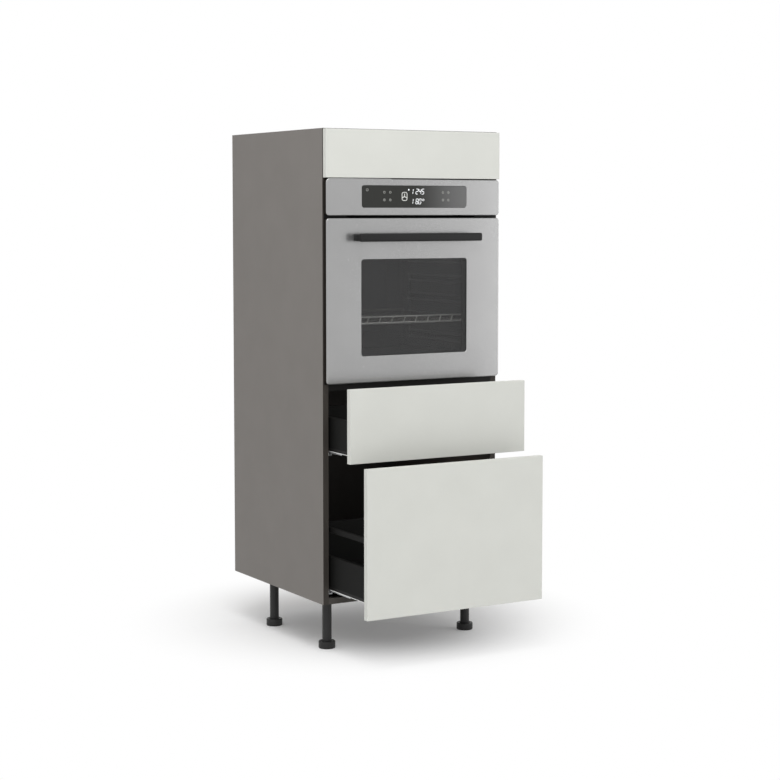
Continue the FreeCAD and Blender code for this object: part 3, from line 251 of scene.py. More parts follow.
def silver():
    """Satin metal on the face of the oven front; its walls, which turn back, are painted dark and matt as
    painted shade.
    """
    material, tree, shader = finish("satin_silver", SILVER, 0.24, bump=0.03, depth=0.0001, wear=0.6,
                                    metal=SILVER_METAL, stretch=(0.15, 1, 1), gloss_spread=0.04)
    face_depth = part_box("door_panel")[0].y + EDGE_ROUND
    # behind the face the metal is painted dark and matt: painted shade
    wall = calculated(tree, "GREATER_THAN", place_along(tree, "Y"), face_depth)
    recoloured(tree, wall, SILVER_WALL_PAINTED_SHADE)
    for socket, value in (("Metallic", SILVER_METAL), ("Specular IOR Level", SILVER_GLOSS)):
        connect(tree, shader, {socket: ranged(tree, wall, 0.0, 1.0, value, 0.0)})
    return material


def display():
    """Smoked glass with a painted reflection of the room, which grows lighter from left to right."""
    low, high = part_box("display_glass")
    tint = (DISPLAY_LEFT, DISPLAY_LEFT)
    material, tree, _ = finish("display_glass", tint, 0.12, grain=80, bump=0.01, specular=0.4)
    across = ranged(tree, place_along(tree, "X"), DISPLAY_REFLECTION_START * low.x, high.x, smooth=True)
    # the gradient across the glass is a painted reflection
    recoloured(tree, across, DISPLAY_PAINTED_REFLECTION)
    return material


def pane(name, alpha, bordered=None):
    """A tinted pane that mirrors the room and lets part of the light through; bordered is the node whose
    edge is printed with an opaque strip."""
    material, tree, shader = finish(name, GLASS_BLACK, 0.03, grain=60, bump=0.005, gloss_spread=0.01)
    connect(tree, shader, {"IOR": PANE_INDEX, "Alpha": alpha})
    if bordered:
        low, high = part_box(bordered)
        middle = (low + high) / 2
        past = []
        for axis, centre, end in (("X", middle.x, high.x), ("Z", middle.z, high.z)):
            away = calculated(tree, "ABSOLUTE", calculated(tree, "SUBTRACT", place_along(tree, axis), centre))
            past.append(calculated(tree, "GREATER_THAN", away, end - centre - PANE_BORDER))
        printed = calculated(tree, "MAXIMUM", *past)
        connect(tree, shader, {"Alpha": ranged(tree, printed, 0.0, 1.0, alpha, 1.0)})
    return material


def lit(name, colour, strength):
    """The light of a figure or a symbol behind the display glass, or of the lamp."""
    material, tree, shader = finish(name, (colour, colour), 0.4, grain=500, bump=0.02)
    connect(tree, shader, {"Emission Color": linear(colour), "Emission Strength": strength})
    return material


def spangled():
    """Galvanised sheet, with the crystals of the zinc."""
    material, tree, _ = finish("galvanised_sheet", GALVANISED, 0.36, grain=260, bump=0.06, metal=0.9)
    recoloured(tree, ranged(tree, cells(tree, SPANGLE_SCALE), 0.5, 1.0, 0.0, SPANGLE_SHARE), SPANGLE)
    return material


def runner(drawer):
    """A runner coated like the drawer side; its running lip is bare metal, painted near white as a painted
    highlight.
    """
    material, tree, _ = finish(drawer + "_runner", RAIL_COAT, 0.5, bump=0.1, specular=0.15)
    lip_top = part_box(drawer + "_drawer_rails")[0].z + RAIL_LIP
    recoloured(tree, calculated(tree, "LESS_THAN", place_along(tree, "Z"), lip_top), RAIL_LIP_BARE_AND_GLINT)
    return material


def speckled():
    """Dark cavity enamel with its fine light speckle."""
    material, tree, _ = finish("cavity_enamel", CAVITY_ENAMEL, 0.5, grain=300, bump=0.05, specular=0.12)
    dots = calculated(tree, "GREATER_THAN", cells(tree, SPECKLE_SCALE), SPECKLE_LEAST)
    recoloured(tree, dots, ENAMEL_SPECKLE)
    return material


# The looks by slot, then those of single nodes, those that only some pieces have, and the oven's sheet.
LOOKS = {
    "carcass_board": board("laminate_dark", BOARD_DARK),
    "back_board": board("drawer_board", ("1b1b1a", "181817")),
    "front_board": plain("matt_lacquer", ("d6d7d1", "d3d4ce", "e2e3dd"), 0.55, grain=1200, bump=0.06),
    "oven_silver": silver(),
    "oven_black": plain("black_enamel", ("0d0d0d", "0a0a0a", "1c1c1c"), 0.55, grain=500, bump=0.08,
                        specular=0.2),
    "enamel": speckled(),
    "drawer_steel": plain("powder_coat", ("171716", "141413", "2c2c2b"), 0.6, grain=1500, bump=0.2,
                          specular=0.08),
    "zinc": plain("zinc_plate", ("c4c6c8", "b3b5b8", "dcdee0"), 0.34, grain=300, bump=0.08, metal=0.7,
                  patch=60),
    "chrome_wire": plain("chrome_wire", ("d4d4d0", "c8c8c4"), 0.25, grain=300, bump=0.03, metal=0.3),
    "element": plain("heater_steel", ("5a554f", "3e3a36", "807a73"), 0.4, grain=400, bump=0.12, metal=0.9,
                     patch=40),
    "leg_plastic": plain("leg_plastic", ("292929", "252525", "3c3c3c"), 0.5, grain=1800, bump=0.25,
                         specular=0.35),
    "handle": plain("handle_black", ("1f1f1f", "202020", "323232"), 0.5, grain=1800, bump=0.12,
                    specular=0.2),
    "window_glass": pane("tinted_glass", 0.3),
    "dark_glass": display(),
    "circuit_board": plain("circuit_board", ("1f4a2c", "173a22", "8a8f60"), 0.5, grain=300, bump=0.3),
    "terminal_plastic": plain("light_plastic", ("c4c4c0", "bababa", "dcdcd8"), 0.5, grain=1200, bump=0.2),
    "wool": plain("mineral_wool", ("b9b39c", "8d8670"), 0.95, grain=260, bump=0.9, depth=0.004, patch=30,
                  gloss_spread=0.03),
    "seal": plain("door_seal", ("232221", "1a1918"), 0.7, grain=700, bump=0.6, depth=0.0006, patch=200),
    "lamp_glass": lit("lamp_glass", "f0e8d4", 1.5),
    "side_panel_left": board("laminate_left", SIDE_EDGE, (REAR, BELOW), LEFT, SIDE_GREY),
    "side_panel_right": board("laminate_right", SIDE_EDGE, (REAR, BELOW), RIGHT, SIDE_GREY),
    "top_panel": board("laminate_top", BOARD_DARK, (REAR,), ABOVE, SIDE_GREY),
    # lighter than the other inner boards: painted light, thrown up from the floor onto its front edge
    "bottom_panel": board("laminate_base_painted_floor_light", ("4e4b47", "494642")),
    # darker than the other inner boards: painted shade on its front edge under the oven
    "oven_shelf": board("laminate_shelf_painted_shade", ("151413", "121110")),
    "back_panel": board("hardboard", ("383634", "343230"), (), REAR, BACK_REAR),
    "door_inner_glass": pane("inner_glass", 0.12, "door_inner_glass"),
    "lower_drawer_rails": runner("lower"),
    "upper_drawer_rails": runner("upper"),
    # painted shade: wire darkened for the shelf's frame and bars and the fan cover's screws inside the cavity
    "shade_painted_wire": plain("browned_wire", ("3c3a36", "32302d"), 0.4, grain=300, bump=0.05, specular=0.3),
    # painted shade: near-black wire so that the side racks sit dark in the cavity
    "dark_wire": plain("enamelled_wire", ("202022", "1a1a1c"), 0.4, grain=300, bump=0.05, specular=0.3),
    "lit_mark": lit("lit_mark", "f2f4f6", 0.9),
    "soft_mark": lit("soft_mark", "b9bab6", 0.5),
    "dim_mark": lit("dim_mark", "8f908c", 0.25),
}
LOOKS.update(dict.fromkeys(("oven_casing", "oven_top_cover", "oven_rear_cover", "fan_motor"), spangled()))


def dress_cad_nodes():
    slot_of = {part["node"]: part["material_slot"] for part in frame["record"]["subparts"]}
    for name, obj in frame["nodes"].items():
        obj.data.materials.clear()
        obj.data.materials.append(LOOKS.get(name) or LOOKS[slot_of[name]])


# ---------------- building pieces
BEND_STEPS = 5
CORNER_STEPS = 8
ROUND_SIDES = 48
SHEET_EDGE = 0.0003
LEAST_BEND = 0.0003
ROD_SHARP = 50.0
FINE_SHARP = 60.0


def in_scene(name, data):
    obj = bpy.data.objects.new(name, data)
    bpy.context.scene.collection.objects.link(obj)
    return obj


def finished(maker):
    bmesh.ops.recalc_face_normals(maker, faces=maker.faces)
    mesh = bpy.data.meshes.new("form")
    maker.to_mesh(mesh)
    maker.free()
    return mesh


def piece(name, form, slot, body="housing", replaces=None, look=None, sharp=35.0):
    """Puts a form in the scene with its look, which is the slot's own unless said, under its body, and hides
    the node that it stands for."""
    mesh = form if isinstance(form, bpy.types.Mesh) else finished(form)
    mesh.name = name
    obj = in_scene(name, mesh)
    mesh.materials.clear()
    mesh.materials.append(LOOKS[look or slot])
    mesh.shade_smooth()
    mesh.set_sharp_from_angle(angle=radians(sharp))
    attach(obj, body)
    if replaces:
        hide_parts(replaces)


def cut(maker, tools):
    """The form's mesh with the tools' closed forms taken out of it."""
    form, tool = [in_scene("helper", finished(made)) for made in (maker, tools)]
    modifier = form.modifiers.new("cut", "BOOLEAN")
    modifier.object = tool
    modifier.solver = "EXACT"
    modifier.use_self = True
    result = bpy.data.meshes.new_from_object(form.evaluated_get(bpy.context.evaluated_depsgraph_get()))
    for helper in (form, tool):
        bpy.data.objects.remove(helper)
    return result


def rods(runs, resolution=3):
    """Round bars as one mesh: each run is its points, its diameter, and whether it closes on itself."""
    curve = bpy.data.curves.new("rods", "CURVE")
    curve.dimensions = "3D"
    curve.bevel_depth = 1.0
    curve.bevel_resolution = resolution
    curve.use_fill_caps = True
    for points, diameter, closed in runs:
        spline = curve.splines.new("POLY")
        spline.points.add(len(points) - 1)
        for target, point in zip(spline.points, points):
            target.co = (*point, 1)
            target.radius = diameter / 2
        spline.use_cyclic_u = closed
    carrier = bpy.data.objects.new("rods", curve)
    mesh = bpy.data.meshes.new_from_object(carrier)
    bpy.data.objects.remove(carrier)
    bpy.data.curves.remove(curve)
    return mesh


def rounded(points, radius, closed=False):
    """A route of straight runs with its corners bent at about this radius."""
    points = [Vector(p) for p in points]
    count = len(points)
    result = []
    for i, corner in enumerate(points):
        if not closed and i in (0, count - 1):
            result.append(corner)
            continue
        before = points[i - 1] - corner
        after = points[(i + 1) % count] - corner
        reach = min(radius, before.length * 0.49, after.length * 0.49)
        start = corner + before.normalized() * reach
        end = corner + after.normalized() * reach
        for step in range(BEND_STEPS + 1):
            t = step / BEND_STEPS
            result.append(start * (1 - t) ** 2 + corner * 2 * t * (1 - t) + end * t ** 2)
    return result


def arc(centre, radius, start, end, steps, axes=(0, 2)):
    """Points on an arc, its turns in degrees, in the plane of two axes."""
    points = []
    for step in range(steps + 1):
        turn = radians(start + (end - start) * step / steps)
        point = Vector(centre)
        point[axes[0]] += radius * cos(turn)
        point[axes[1]] += radius * sin(turn)
        points.append(point)
    return points


def bend_shares():
    """Step by step round a quarter bend: the share gone across, and the share left along."""
    turns = [pi / 2 * step / BEND_STEPS for step in range(BEND_STEPS + 1)]
    return [(1 - cos(turn), 1 - sin(turn)) for turn in turns]


def loft(maker, rings, wrap=False):
    """Adds the skin over rings of points; a ring of one point closes an end."""
    made = [[maker.verts.new(point) for point in ring] for ring in rings]
    if wrap:
        made.append(made[0])
    for lower, upper in zip(made, made[1:]):
        for i in range(max(len(lower), len(upper))):
            corners = [lower[i % len(lower)], lower[(i + 1) % len(lower)],
                       upper[(i + 1) % len(upper)], upper[i % len(upper)]]
            corners = list(dict.fromkeys(corners))
            if len(corners) > 2:
                maker.faces.new(corners)


def turned(maker, profile, place, direction=(0, 0, 1), sides=32, crossed=()):
    """Adds a turned form: (radius, height) pairs along the direction from its place. The rings whose number
    is in crossed are drawn in to a star of four arms, as in a screw's recess."""
    direction = Vector(direction).normalized()
    across = direction.orthogonal().normalized()
    up = direction.cross(across)
    rings = []
    for number, (radius, height) in enumerate(profile):
        ring = []
        for i in range(sides if radius > 0 else 1):
            turn = 2 * pi * i / sides
            reach = radius * CROSS_SHARE if number in crossed and i % (sides // 4) else radius
            ring.append(Vector(place) + direction * height
                        + across * reach * cos(turn) + up * reach * sin(turn))
        rings.append(ring)
    loft(maker, rings)


def block(maker, low, high, bevel=SHEET_EDGE, segments=2):
    """Adds a box with rounded edges."""
    made = bmesh.ops.create_cube(maker, size=1.0)["verts"]
    for vert in made:
        vert.co = Vector((low[i] + (vert.co[i] + 0.5) * (high[i] - low[i]) for i in range(3)))
    edges = list({edge for vert in made for edge in vert.link_edges})
    bmesh.ops.bevel(maker, geom=edges, offset=bevel, segments=segments, profile=0.5, affect="EDGES",
                    clamp_overlap=True)


def both_sides(maker, low, high, bevel=SHEET_EDGE, segments=2):
    """Adds a box on the right side and its mirror image on the left."""
    block(maker, (-high[0], low[1], low[2]), (-low[0], high[1], high[2]), bevel, segments)
    block(maker, low, high, bevel, segments)


def plate_ring(low, high, radius, y, inset=0.0):
    """The rounded outline of a plate that faces the front, drawn in from the box by the inset."""
    bend = max(radius - inset, LEAST_BEND)
    ring = []
    for side_x, side_z, start in ((1, 1, 0), (-1, 1, 90), (-1, -1, 180), (1, -1, 270)):
        x = high.x - inset - bend if side_x > 0 else low.x + inset + bend
        z = high.z - inset - bend if side_z > 0 else low.z + inset + bend
        ring += arc((x, y, z), bend, start, start + 90, CORNER_STEPS)
    return ring


def bent_rings(low, high, radius, bend, open_y, closed_y, inset):
    """The rings of a dish's wall, from its open rim round the bend to its bottom."""
    way = 1 if closed_y > open_y else -1
    rings = [plate_ring(low, high, radius, open_y, inset)]
    for across, left in bend_shares():
        rings.append(plate_ring(low, high, radius, closed_y - way * bend * left, inset + bend * across))
    return rings


def dish(maker, low, high, radius, bend, sheet, open_y, closed_y):
    """Adds a dish pressed from sheet, open at one Y and closed at the other."""
    way = 1 if closed_y > open_y else -1
    inside = bent_rings(low, high, radius, bend - sheet, open_y, closed_y - way * sheet, sheet)
    outside = bent_rings(low, high, radius, bend, open_y, closed_y, 0.0)
    middle = (low + high) / 2
    centres = [[Vector((middle.x, y, middle.z))] for y in (closed_y - way * sheet, closed_y)]
    loft(maker, [centres[0]] + inside[::-1] + outside + [centres[1]])


def middle_of(node):
    low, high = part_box(node)
    return (low + high) / 2


def spaced(low, high, count):
    return [low + (high - low) * i / (count - 1) for i in range(count)]


def upright_grid(xs, y, zs):
    return [(x, y, z) for x in xs for z in zs]


# ---------------- screws
SCREW_RADIUS = 0.0038
SMALL_SCREW = 0.0032
SCREW_RISE = 0.0018
SCREW_PROFILE = ((0.0, 0.35), (0.30, 0.35), (0.55, 1.0), (0.75, 0.93), (0.93, 0.65), (1.0, 0.0))  # shares
CROSS_SHARE = 0.35  # of the recess's reach, between its arms


def screws(name, places, direction, body="housing", radius=SCREW_RADIUS, slot="zinc", look=None):
    """Pan-head screws with crossed recesses, as one piece."""
    maker = bmesh.new()
    profile = [(share * radius, rise * SCREW_RISE) for share, rise in SCREW_PROFILE]
    for place in places:
        turned(maker, profile, place, direction, sides=16, crossed=(1, 2))
    piece(name, maker, slot, body, look=look)


# ---------------- carcass
CAM_BOARDS = {"top_panel": 1, "bottom_panel": -1, "oven_shelf": -1, "niche_rail": 1}
CAM_EDGE = 0.034
CAM_FROM_FRONT = 0.060
CAM_SPACING = 0.420
CAM_RADIUS = 0.0075
CAM_DEPTH = 0.0125
CAM_CROSS = 0.0042
CAM_CROSS_FOOT = 0.0036
CAM_CROSS_DEPTH = 0.0030
CAM_ROUND = 0.0004
BRACKET_SCREW_EDGE = 0.010
BRACKET_SCREW_FRONT = 0.015
BRACKET_SHEET = 0.002


def cams():
    profile = [(0, -CAM_DEPTH), (CAM_RADIUS, -CAM_DEPTH), (CAM_RADIUS, -CAM_ROUND),
               (CAM_RADIUS - CAM_ROUND, 0), (CAM_CROSS, 0), (CAM_CROSS_FOOT, -CAM_CROSS_DEPTH),
               (0, -CAM_CROSS_DEPTH)]
    maker = bmesh.new()
    for node, up in CAM_BOARDS.items():
        low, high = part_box(node)
        face = high.z if up > 0 else low.z
        rows = [low.y + CAM_FROM_FRONT]
        if node != "niche_rail":
            rows.append(rows[0] + CAM_SPACING)
        for x in (low.x + CAM_EDGE, high.x - CAM_EDGE):
            for y in rows:
                turned(maker, profile, (x, y, face), (0, 0, up), crossed=(4, 5))
    piece("cam_fittings_turned", maker, "zinc", replaces="cam_fittings")


def carcass_screws():
    """Screws that go down and up through the angles behind the fascia."""
    low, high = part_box("fascia_brackets")
    x, y = high.x - BRACKET_SCREW_EDGE, low.y + BRACKET_SCREW_FRONT
    for word, z, up in (("low", low.z + BRACKET_SHEET, 1), ("high", high.z - BRACKET_SHEET, -1)):
        screws("fascia_bracket_screws_" + word, [(-x, y, z), (x, y, z)], (0, 0, up))


# ---------------- legs
FEET = {"foot_front_left": "foot_fl", "foot_front_right": "foot_fr", "foot_rear_left": "foot_rl",
        "foot_rear_right": "foot_rr"}
FOOT_ROUND = 0.003
FOOT_RECESS_RADIUS = 0.016
FOOT_RECESS_DEPTH = 0.0055
JOINT_GAP = 0.0005
STEM_RADIUS = 0.006
STEM_TAPER = 0.0014
THREAD_PITCH = 0.0025
THREAD_DEPTH = 0.0009
THREAD_CREST = (0.4, 0.6)  # shares of the pitch
THREAD_RUNOUT = 0.001
TUBE_RADIUS = 0.014
TUBE_CHAMFER = 0.0012
BORE_GAP = 0.0003
GROOVE_RISE = 0.008
GROOVE_WIDTH = 0.002
GROOVE_DEPTH = 0.0005
COLLAR_RADIUS = 0.018
COLLAR_CHAMFER = 0.0006
COLLAR_FLARE = 0.002
FLANGE_ROUND = 0.0012
RIB_PLACE = 0.0215
RIB_LENGTH = 0.009
RIB_THICK = 0.0016
RIB_RISE = 0.002
RIB_ROUND = 0.0004
SOCKET_SCREWS = (-0.022, 0.022)  # from the leg's middle, along X and Y


def foot_profile(foot_box, tube_foot):
    """A disc with rounded edges, the recess that the tube turns in, and the threaded stem."""
    low, high = foot_box
    radius = (high.x - low.x) / 2
    core = STEM_RADIUS - THREAD_DEPTH
    disc_top = tube_foot + FOOT_RECESS_DEPTH
    stem_foot = tube_foot - JOINT_GAP
    disc = rounded([(0, 0), (radius, 0), (radius, disc_top), (FOOT_RECESS_RADIUS, disc_top),
                    (FOOT_RECESS_RADIUS, stem_foot), (core, stem_foot)], FOOT_ROUND)
    stem = []
    z = stem_foot + THREAD_RUNOUT
    while z + THREAD_PITCH < high.z - THREAD_RUNOUT:
        stem.append((core, z))
        stem += [(STEM_RADIUS, z + THREAD_PITCH * share) for share in THREAD_CREST]
        z += THREAD_PITCH
    return [tuple(point) for point in disc] + stem + [(STEM_RADIUS - STEM_TAPER, high.z), (0, high.z)]


def tube_profile(foot, top, stem_top):
    """A tube with a bored foot and one ring groove."""
    bore = STEM_RADIUS + BORE_GAP
    groove = foot + GROOVE_RISE
    groove_top = groove + GROOVE_WIDTH
    waist = TUBE_RADIUS - GROOVE_DEPTH
    return [(0, stem_top), (bore, stem_top), (bore, foot), (TUBE_RADIUS - TUBE_CHAMFER, foot),
            (TUBE_RADIUS, foot + TUBE_CHAMFER), (TUBE_RADIUS, groove), (waist, groove + GROOVE_DEPTH),
            (waist, groove_top - GROOVE_DEPTH), (TUBE_RADIUS, groove_top), (TUBE_RADIUS, top), (0, top)]


def leg_socket(maker, x, y, low, high):
    """A square flange with rounded edges, a collar for the tube and four ribs between them."""
    flange_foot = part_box("leg_tubes")[1].z
    half = high.x - middle_of("foot_front_right").x
    block(maker, (x - half, y - half, flange_foot), (x + half, y + half, high.z), FLANGE_ROUND, 3)
    bore = TUBE_RADIUS + BORE_GAP
    turned(maker, [(bore, flange_foot), (bore, low.z + JOINT_GAP), (bore + JOINT_GAP, low.z),
                   (COLLAR_RADIUS - COLLAR_CHAMFER, low.z), (COLLAR_RADIUS, low.z + COLLAR_CHAMFER),
                   (COLLAR_RADIUS, flange_foot - COLLAR_FLARE), (COLLAR_RADIUS + COLLAR_FLARE, flange_foot)],
           (x, y, 0))
    for across, along in ((1, 0), (-1, 0), (0, 1), (0, -1)):
        rib = Vector((x + across * RIB_PLACE, y + along * RIB_PLACE, low.z + RIB_RISE))
        half_rib = Vector((RIB_LENGTH, RIB_THICK, 0) if across else (RIB_THICK, RIB_LENGTH, 0)) / 2
        block(maker, rib - half_rib, rib + half_rib + Vector((0, 0, flange_foot - rib.z)), RIB_ROUND)


def legs():
    tubes, sockets, heads = bmesh.new(), bmesh.new(), []
    tube_low, tube_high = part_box("leg_tubes")
    for node, body in FEET.items():
        x, y, _ = middle_of(node)
        foot = bmesh.new()
        turned(foot, foot_profile(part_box(node), tube_low.z), (x, y, 0), sides=ROUND_SIDES)
        piece(node + "_turned", foot, "leg_plastic", body, node)
        tube = tube_profile(tube_low.z, tube_high.z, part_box(node)[1].z + JOINT_GAP)
        turned(tubes, tube, (x, y, 0), sides=ROUND_SIDES)
        leg_socket(sockets, x, y, *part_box("leg_sockets"))
        heads += [(x + right, y + back, tube_high.z) for right in SOCKET_SCREWS for back in SOCKET_SCREWS]
    piece("leg_tubes_turned", tubes, "leg_plastic", replaces="leg_tubes")
    piece("leg_sockets_moulded", sockets, "leg_plastic", replaces="leg_sockets")
    screws("leg_socket_screws", heads, (0, 0, -1))


# ---------------- drawers
CAP_SIZE = Vector((0.0014, 0.042, 0.062))
CAP_FRONT_GAP = 0.003
CAP_ROUND = 0.0006
BUTTON_PROFILE = ((0.0052, 0), (0.0052, 0.0004), (0.0046, 0.0007), (0.0, 0.0003))
CLIP_EDGES = (0.066, 0.030)  # from the rails' outer side
CLIP_ENDS = (0.006, 0.052)  # from the rails' front
CLIP_GAP = 0.0005
CLIP_ROUND = 0.0015
RUNNER_DROP = 0.006  # of the fixed rail's middle, below the rail on the drawer
RUNNER_SHEET = 0.0015
RUNNER_SCREW = 0.003
RUNNER_SCREW_PLACES = (0.035, 0.130, 0.290, 0.450)
ROLLER_FRONT = 0.008
ROLLER_SIDE = 0.0025
ROLLER_PROFILE = ((0, 0), (0.0045, 0), (0.0045, 0.003), (0.0015, 0.0034), (0, 0.0034))


def side_caps(drawer):
    """Cover caps over the drawer's front brackets, each with a round button."""
    low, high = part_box(drawer + "_front_brackets")
    inner = high.x - BRACKET_SHEET - CAP_SIZE.x
    middle = Vector((inner + CAP_SIZE.x / 2, low.y + CAP_FRONT_GAP + CAP_SIZE.y / 2, (low.z + high.z) / 2))
    maker = bmesh.new()
    both_sides(maker, middle - CAP_SIZE / 2, middle + CAP_SIZE / 2, CAP_ROUND, 3)
    for side in (-1, 1):
        turned(maker, BUTTON_PROFILE, (side * inner, middle.y, middle.z), (-side, 0, 0))
    piece(drawer + "_side_caps", maker, "drawer_steel", drawer + "_drawer")


def runner_clips(drawer):
    """The clips that couple the drawer to its runners."""
    low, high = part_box(drawer + "_drawer_rails")
    maker = bmesh.new()
    both_sides(maker, (high.x - CLIP_EDGES[0], low.y + CLIP_ENDS[0], low.z + CLIP_GAP),
               (high.x - CLIP_EDGES[1], low.y + CLIP_ENDS[1], high.z), CLIP_ROUND, 3)
    piece(drawer + "_runner_clips", maker, "leg_plastic", drawer + "_drawer")


def runner_fittings():
    """Screws in the webs of the fixed rails, and nylon rollers at their front ends."""
    low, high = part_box("cabinet_rails")
    rows = [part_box(drawer + "_drawer_rails")[0].z - RUNNER_DROP for drawer in ("lower", "upper")]
    rollers = bmesh.new()
    for side, word in ((-1, "left"), (1, "right")):
        web, start = side * (high.x - RUNNER_SHEET), side * (high.x - ROLLER_SIDE)
        places = [(web, low.y + along, z) for z in rows for along in RUNNER_SCREW_PLACES]
        screws("runner_screws_" + word, places, (-side, 0, 0), radius=RUNNER_SCREW)
        for z in rows:
            turned(rollers, ROLLER_PROFILE, (start, low.y + ROLLER_FRONT, z), (-side, 0, 0), sides=24)
    piece("runner_rollers", rollers, "terminal_plastic")


# ---------------- oven front
OVEN_CORNER = 0.010
FRONT_SHEET = 0.0015
WINDOW_SIZE = (0.364, 0.283)
WINDOW_CORNER = 0.008
DISPLAY_CORNER = 0.007
OPENING_BEVEL = 0.0010
SUPPORT = 0.0004  # a strip that keeps the face's shading flat up to its edges
RECEIVER_WIDTH = 0.014
NOTCH_WIDTH = 0.007
NOTCH_HEIGHT = 0.0025
NOTCH_ROUND = 0.0002
CUT_PAST = 0.002  # of a cutting form, beyond the sheet
GRIP_ROUND = 0.0055
POST_WIDTH = 0.020
POST_ROUND = 0.004
POST_SINK = 0.002  # into the grip
POST_FOOT = 0.003
POST_FOOT_STEP = 0.0002
POST_FOOT_ROUND = 0.001
DUCT_HALF = 0.222
DUCT_FRONT = 0.0016
DUCT_REAR = 0.090
DUCT_GAP = 0.001
DUCT_SHEET = 0.0012
FRAME_SCREW_EDGE = 0.017
FRAME_SCREW_RISES = (0.10, 0.38)
TRAY_SCREW_SIDE = 0.216
TRAY_SCREW_DROP = 0.032
TRAY_SCREW_RISE = 0.070
PANE_CLIP_ENDS = (0.136, 0.164)
PANE_CLIP_SHEET = 0.0008
PANE_CLIP_RISES = (-0.010, 0.004)  # from the top edge of the pane


def pressed_front(maker, low, high, opening_low, opening_high, opening_radius):
    """Adds a pressed cover: a face with rounded edges and an opening, and walls that turn back."""
    face, back = low.y, high.y
    opening = ((face + FRONT_SHEET, 0.0), (face + OPENING_BEVEL, 0.0), (face, -OPENING_BEVEL),
               (face, -OPENING_BEVEL - SUPPORT))
    outside = [(face, EDGE_ROUND + SUPPORT)]
    outside += [(face + EDGE_ROUND * across, EDGE_ROUND * left) for across, left in bend_shares()]
    outside += [(back, 0.0), (back, FRONT_SHEET), (face + EDGE_ROUND, FRONT_SHEET),
                (face + FRONT_SHEET, EDGE_ROUND)]
    rings = [plate_ring(opening_low, opening_high, opening_radius, y, inset) for y, inset in opening]
    rings += [plate_ring(low, high, OVEN_CORNER, y, inset) for y, inset in outside]
    loft(maker, rings, wrap=True)


def centred(middle, size):
    """The low and high corners of a rectangle, as wide and as high as the size, round its middle."""
    half = Vector((size[0] / 2, 0, size[1] / 2))
    return middle - half, middle + half


def door_skin():
    """The door's outer skin, with notches in its foot for the hinge arms."""
    low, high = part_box("door_panel")
    skin, notches = bmesh.new(), bmesh.new()
    pressed_front(skin, low, high, *centred(middle_of("door_window"), WINDOW_SIZE), WINDOW_CORNER)
    hinge_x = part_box("hinge_arms")[1].x - RECEIVER_WIDTH / 2
    both_sides(notches, (hinge_x - NOTCH_WIDTH / 2, low.y + FRONT_SHEET, low.z - CUT_PAST),
               (hinge_x + NOTCH_WIDTH / 2, high.y + CUT_PAST, low.z + NOTCH_HEIGHT), NOTCH_ROUND)
    piece("door_skin_pressed", cut(skin, notches), "oven_silver", "oven_door", "door_panel")


def control_skin():
    glass_low, glass_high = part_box("display_glass")
    size = (glass_high.x - glass_low.x - 2 * DISPLAY_CORNER, glass_high.z - glass_low.z - DISPLAY_CORNER)
    opening = centred(middle_of("display_glass"), size)
    maker = bmesh.new()
    pressed_front(maker, *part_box("control_fascia"), *opening, DISPLAY_CORNER)
    piece("control_skin_pressed", maker, "oven_silver", replaces="control_fascia")


def handle():
    """The grip with its round edges, and posts that widen to a foot on the door."""
    grip = bmesh.new()
    block(grip, *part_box("handle_bar"), GRIP_ROUND, 6)
    piece("handle_grip", grip, "handle", "oven_door", "handle_bar")

    low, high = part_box("handle_posts")
    inner = high.x - POST_WIDTH
    step = POST_FOOT_STEP
    posts = bmesh.new()
    both_sides(posts, (inner, low.y - POST_SINK, low.z), high, POST_ROUND, 4)
    both_sides(posts, (inner + step, high.y - POST_FOOT, low.z + step),
               (high.x - step, high.y, high.z - step), POST_FOOT_ROUND, 3)
    piece("handle_feet", posts, "handle", "oven_door", "handle_posts")


def exhaust_channel():
    """The flat duct behind the slot between the door and the control fascia."""
    frame_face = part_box("oven_front_frame")[0].y
    foot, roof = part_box("door_panel")[1].z + DUCT_GAP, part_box("control_fascia")[0].z - DUCT_GAP
    front, rear = frame_face + DUCT_FRONT, frame_face + DUCT_REAR
    base, top, wall = foot - DUCT_SHEET, roof + DUCT_SHEET, rear + DUCT_SHEET
    maker = bmesh.new()
    block(maker, (-DUCT_HALF, front, base), (DUCT_HALF, rear, foot))
    block(maker, (-DUCT_HALF, front, roof), (DUCT_HALF, rear, top))
    block(maker, (-DUCT_HALF, rear, base), (DUCT_HALF, wall, top))
    both_sides(maker, (DUCT_HALF, front, base), (DUCT_HALF + DUCT_SHEET, wall, top))
    piece("exhaust_channel", maker, "oven_black")


def front_screws():
    """Screws that hold the oven's frame to the unit, and those of the tray behind the door."""
    low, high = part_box("oven_front_frame")
    x = high.x - FRAME_SCREW_EDGE
    heads = upright_grid((-x, x), low.y, [low.z + rise for rise in FRAME_SCREW_RISES])
    screws("frame_screws", heads, (0, -1, 0))
    low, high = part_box("door_carrier")
    levels = (high.z - TRAY_SCREW_DROP, low.z + TRAY_SCREW_RISE)
    heads = upright_grid((-TRAY_SCREW_SIDE, TRAY_SCREW_SIDE), high.y, levels)
    screws("door_tray_screws", heads, (0, 1, 0), "oven_door", SMALL_SCREW, "oven_black")


def pane_clips():
    """Two spring clips that hold the inner pane in the door's tray."""
    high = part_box("door_inner_glass")[1]
    near, far = PANE_CLIP_ENDS
    foot, top = [high.z + rise for rise in PANE_CLIP_RISES]
    maker = bmesh.new()
    both_sides(maker, (near, high.y, foot), (far, high.y + PANE_CLIP_SHEET, top))
    piece("inner_pane_clips", maker, "oven_black", "oven_door")


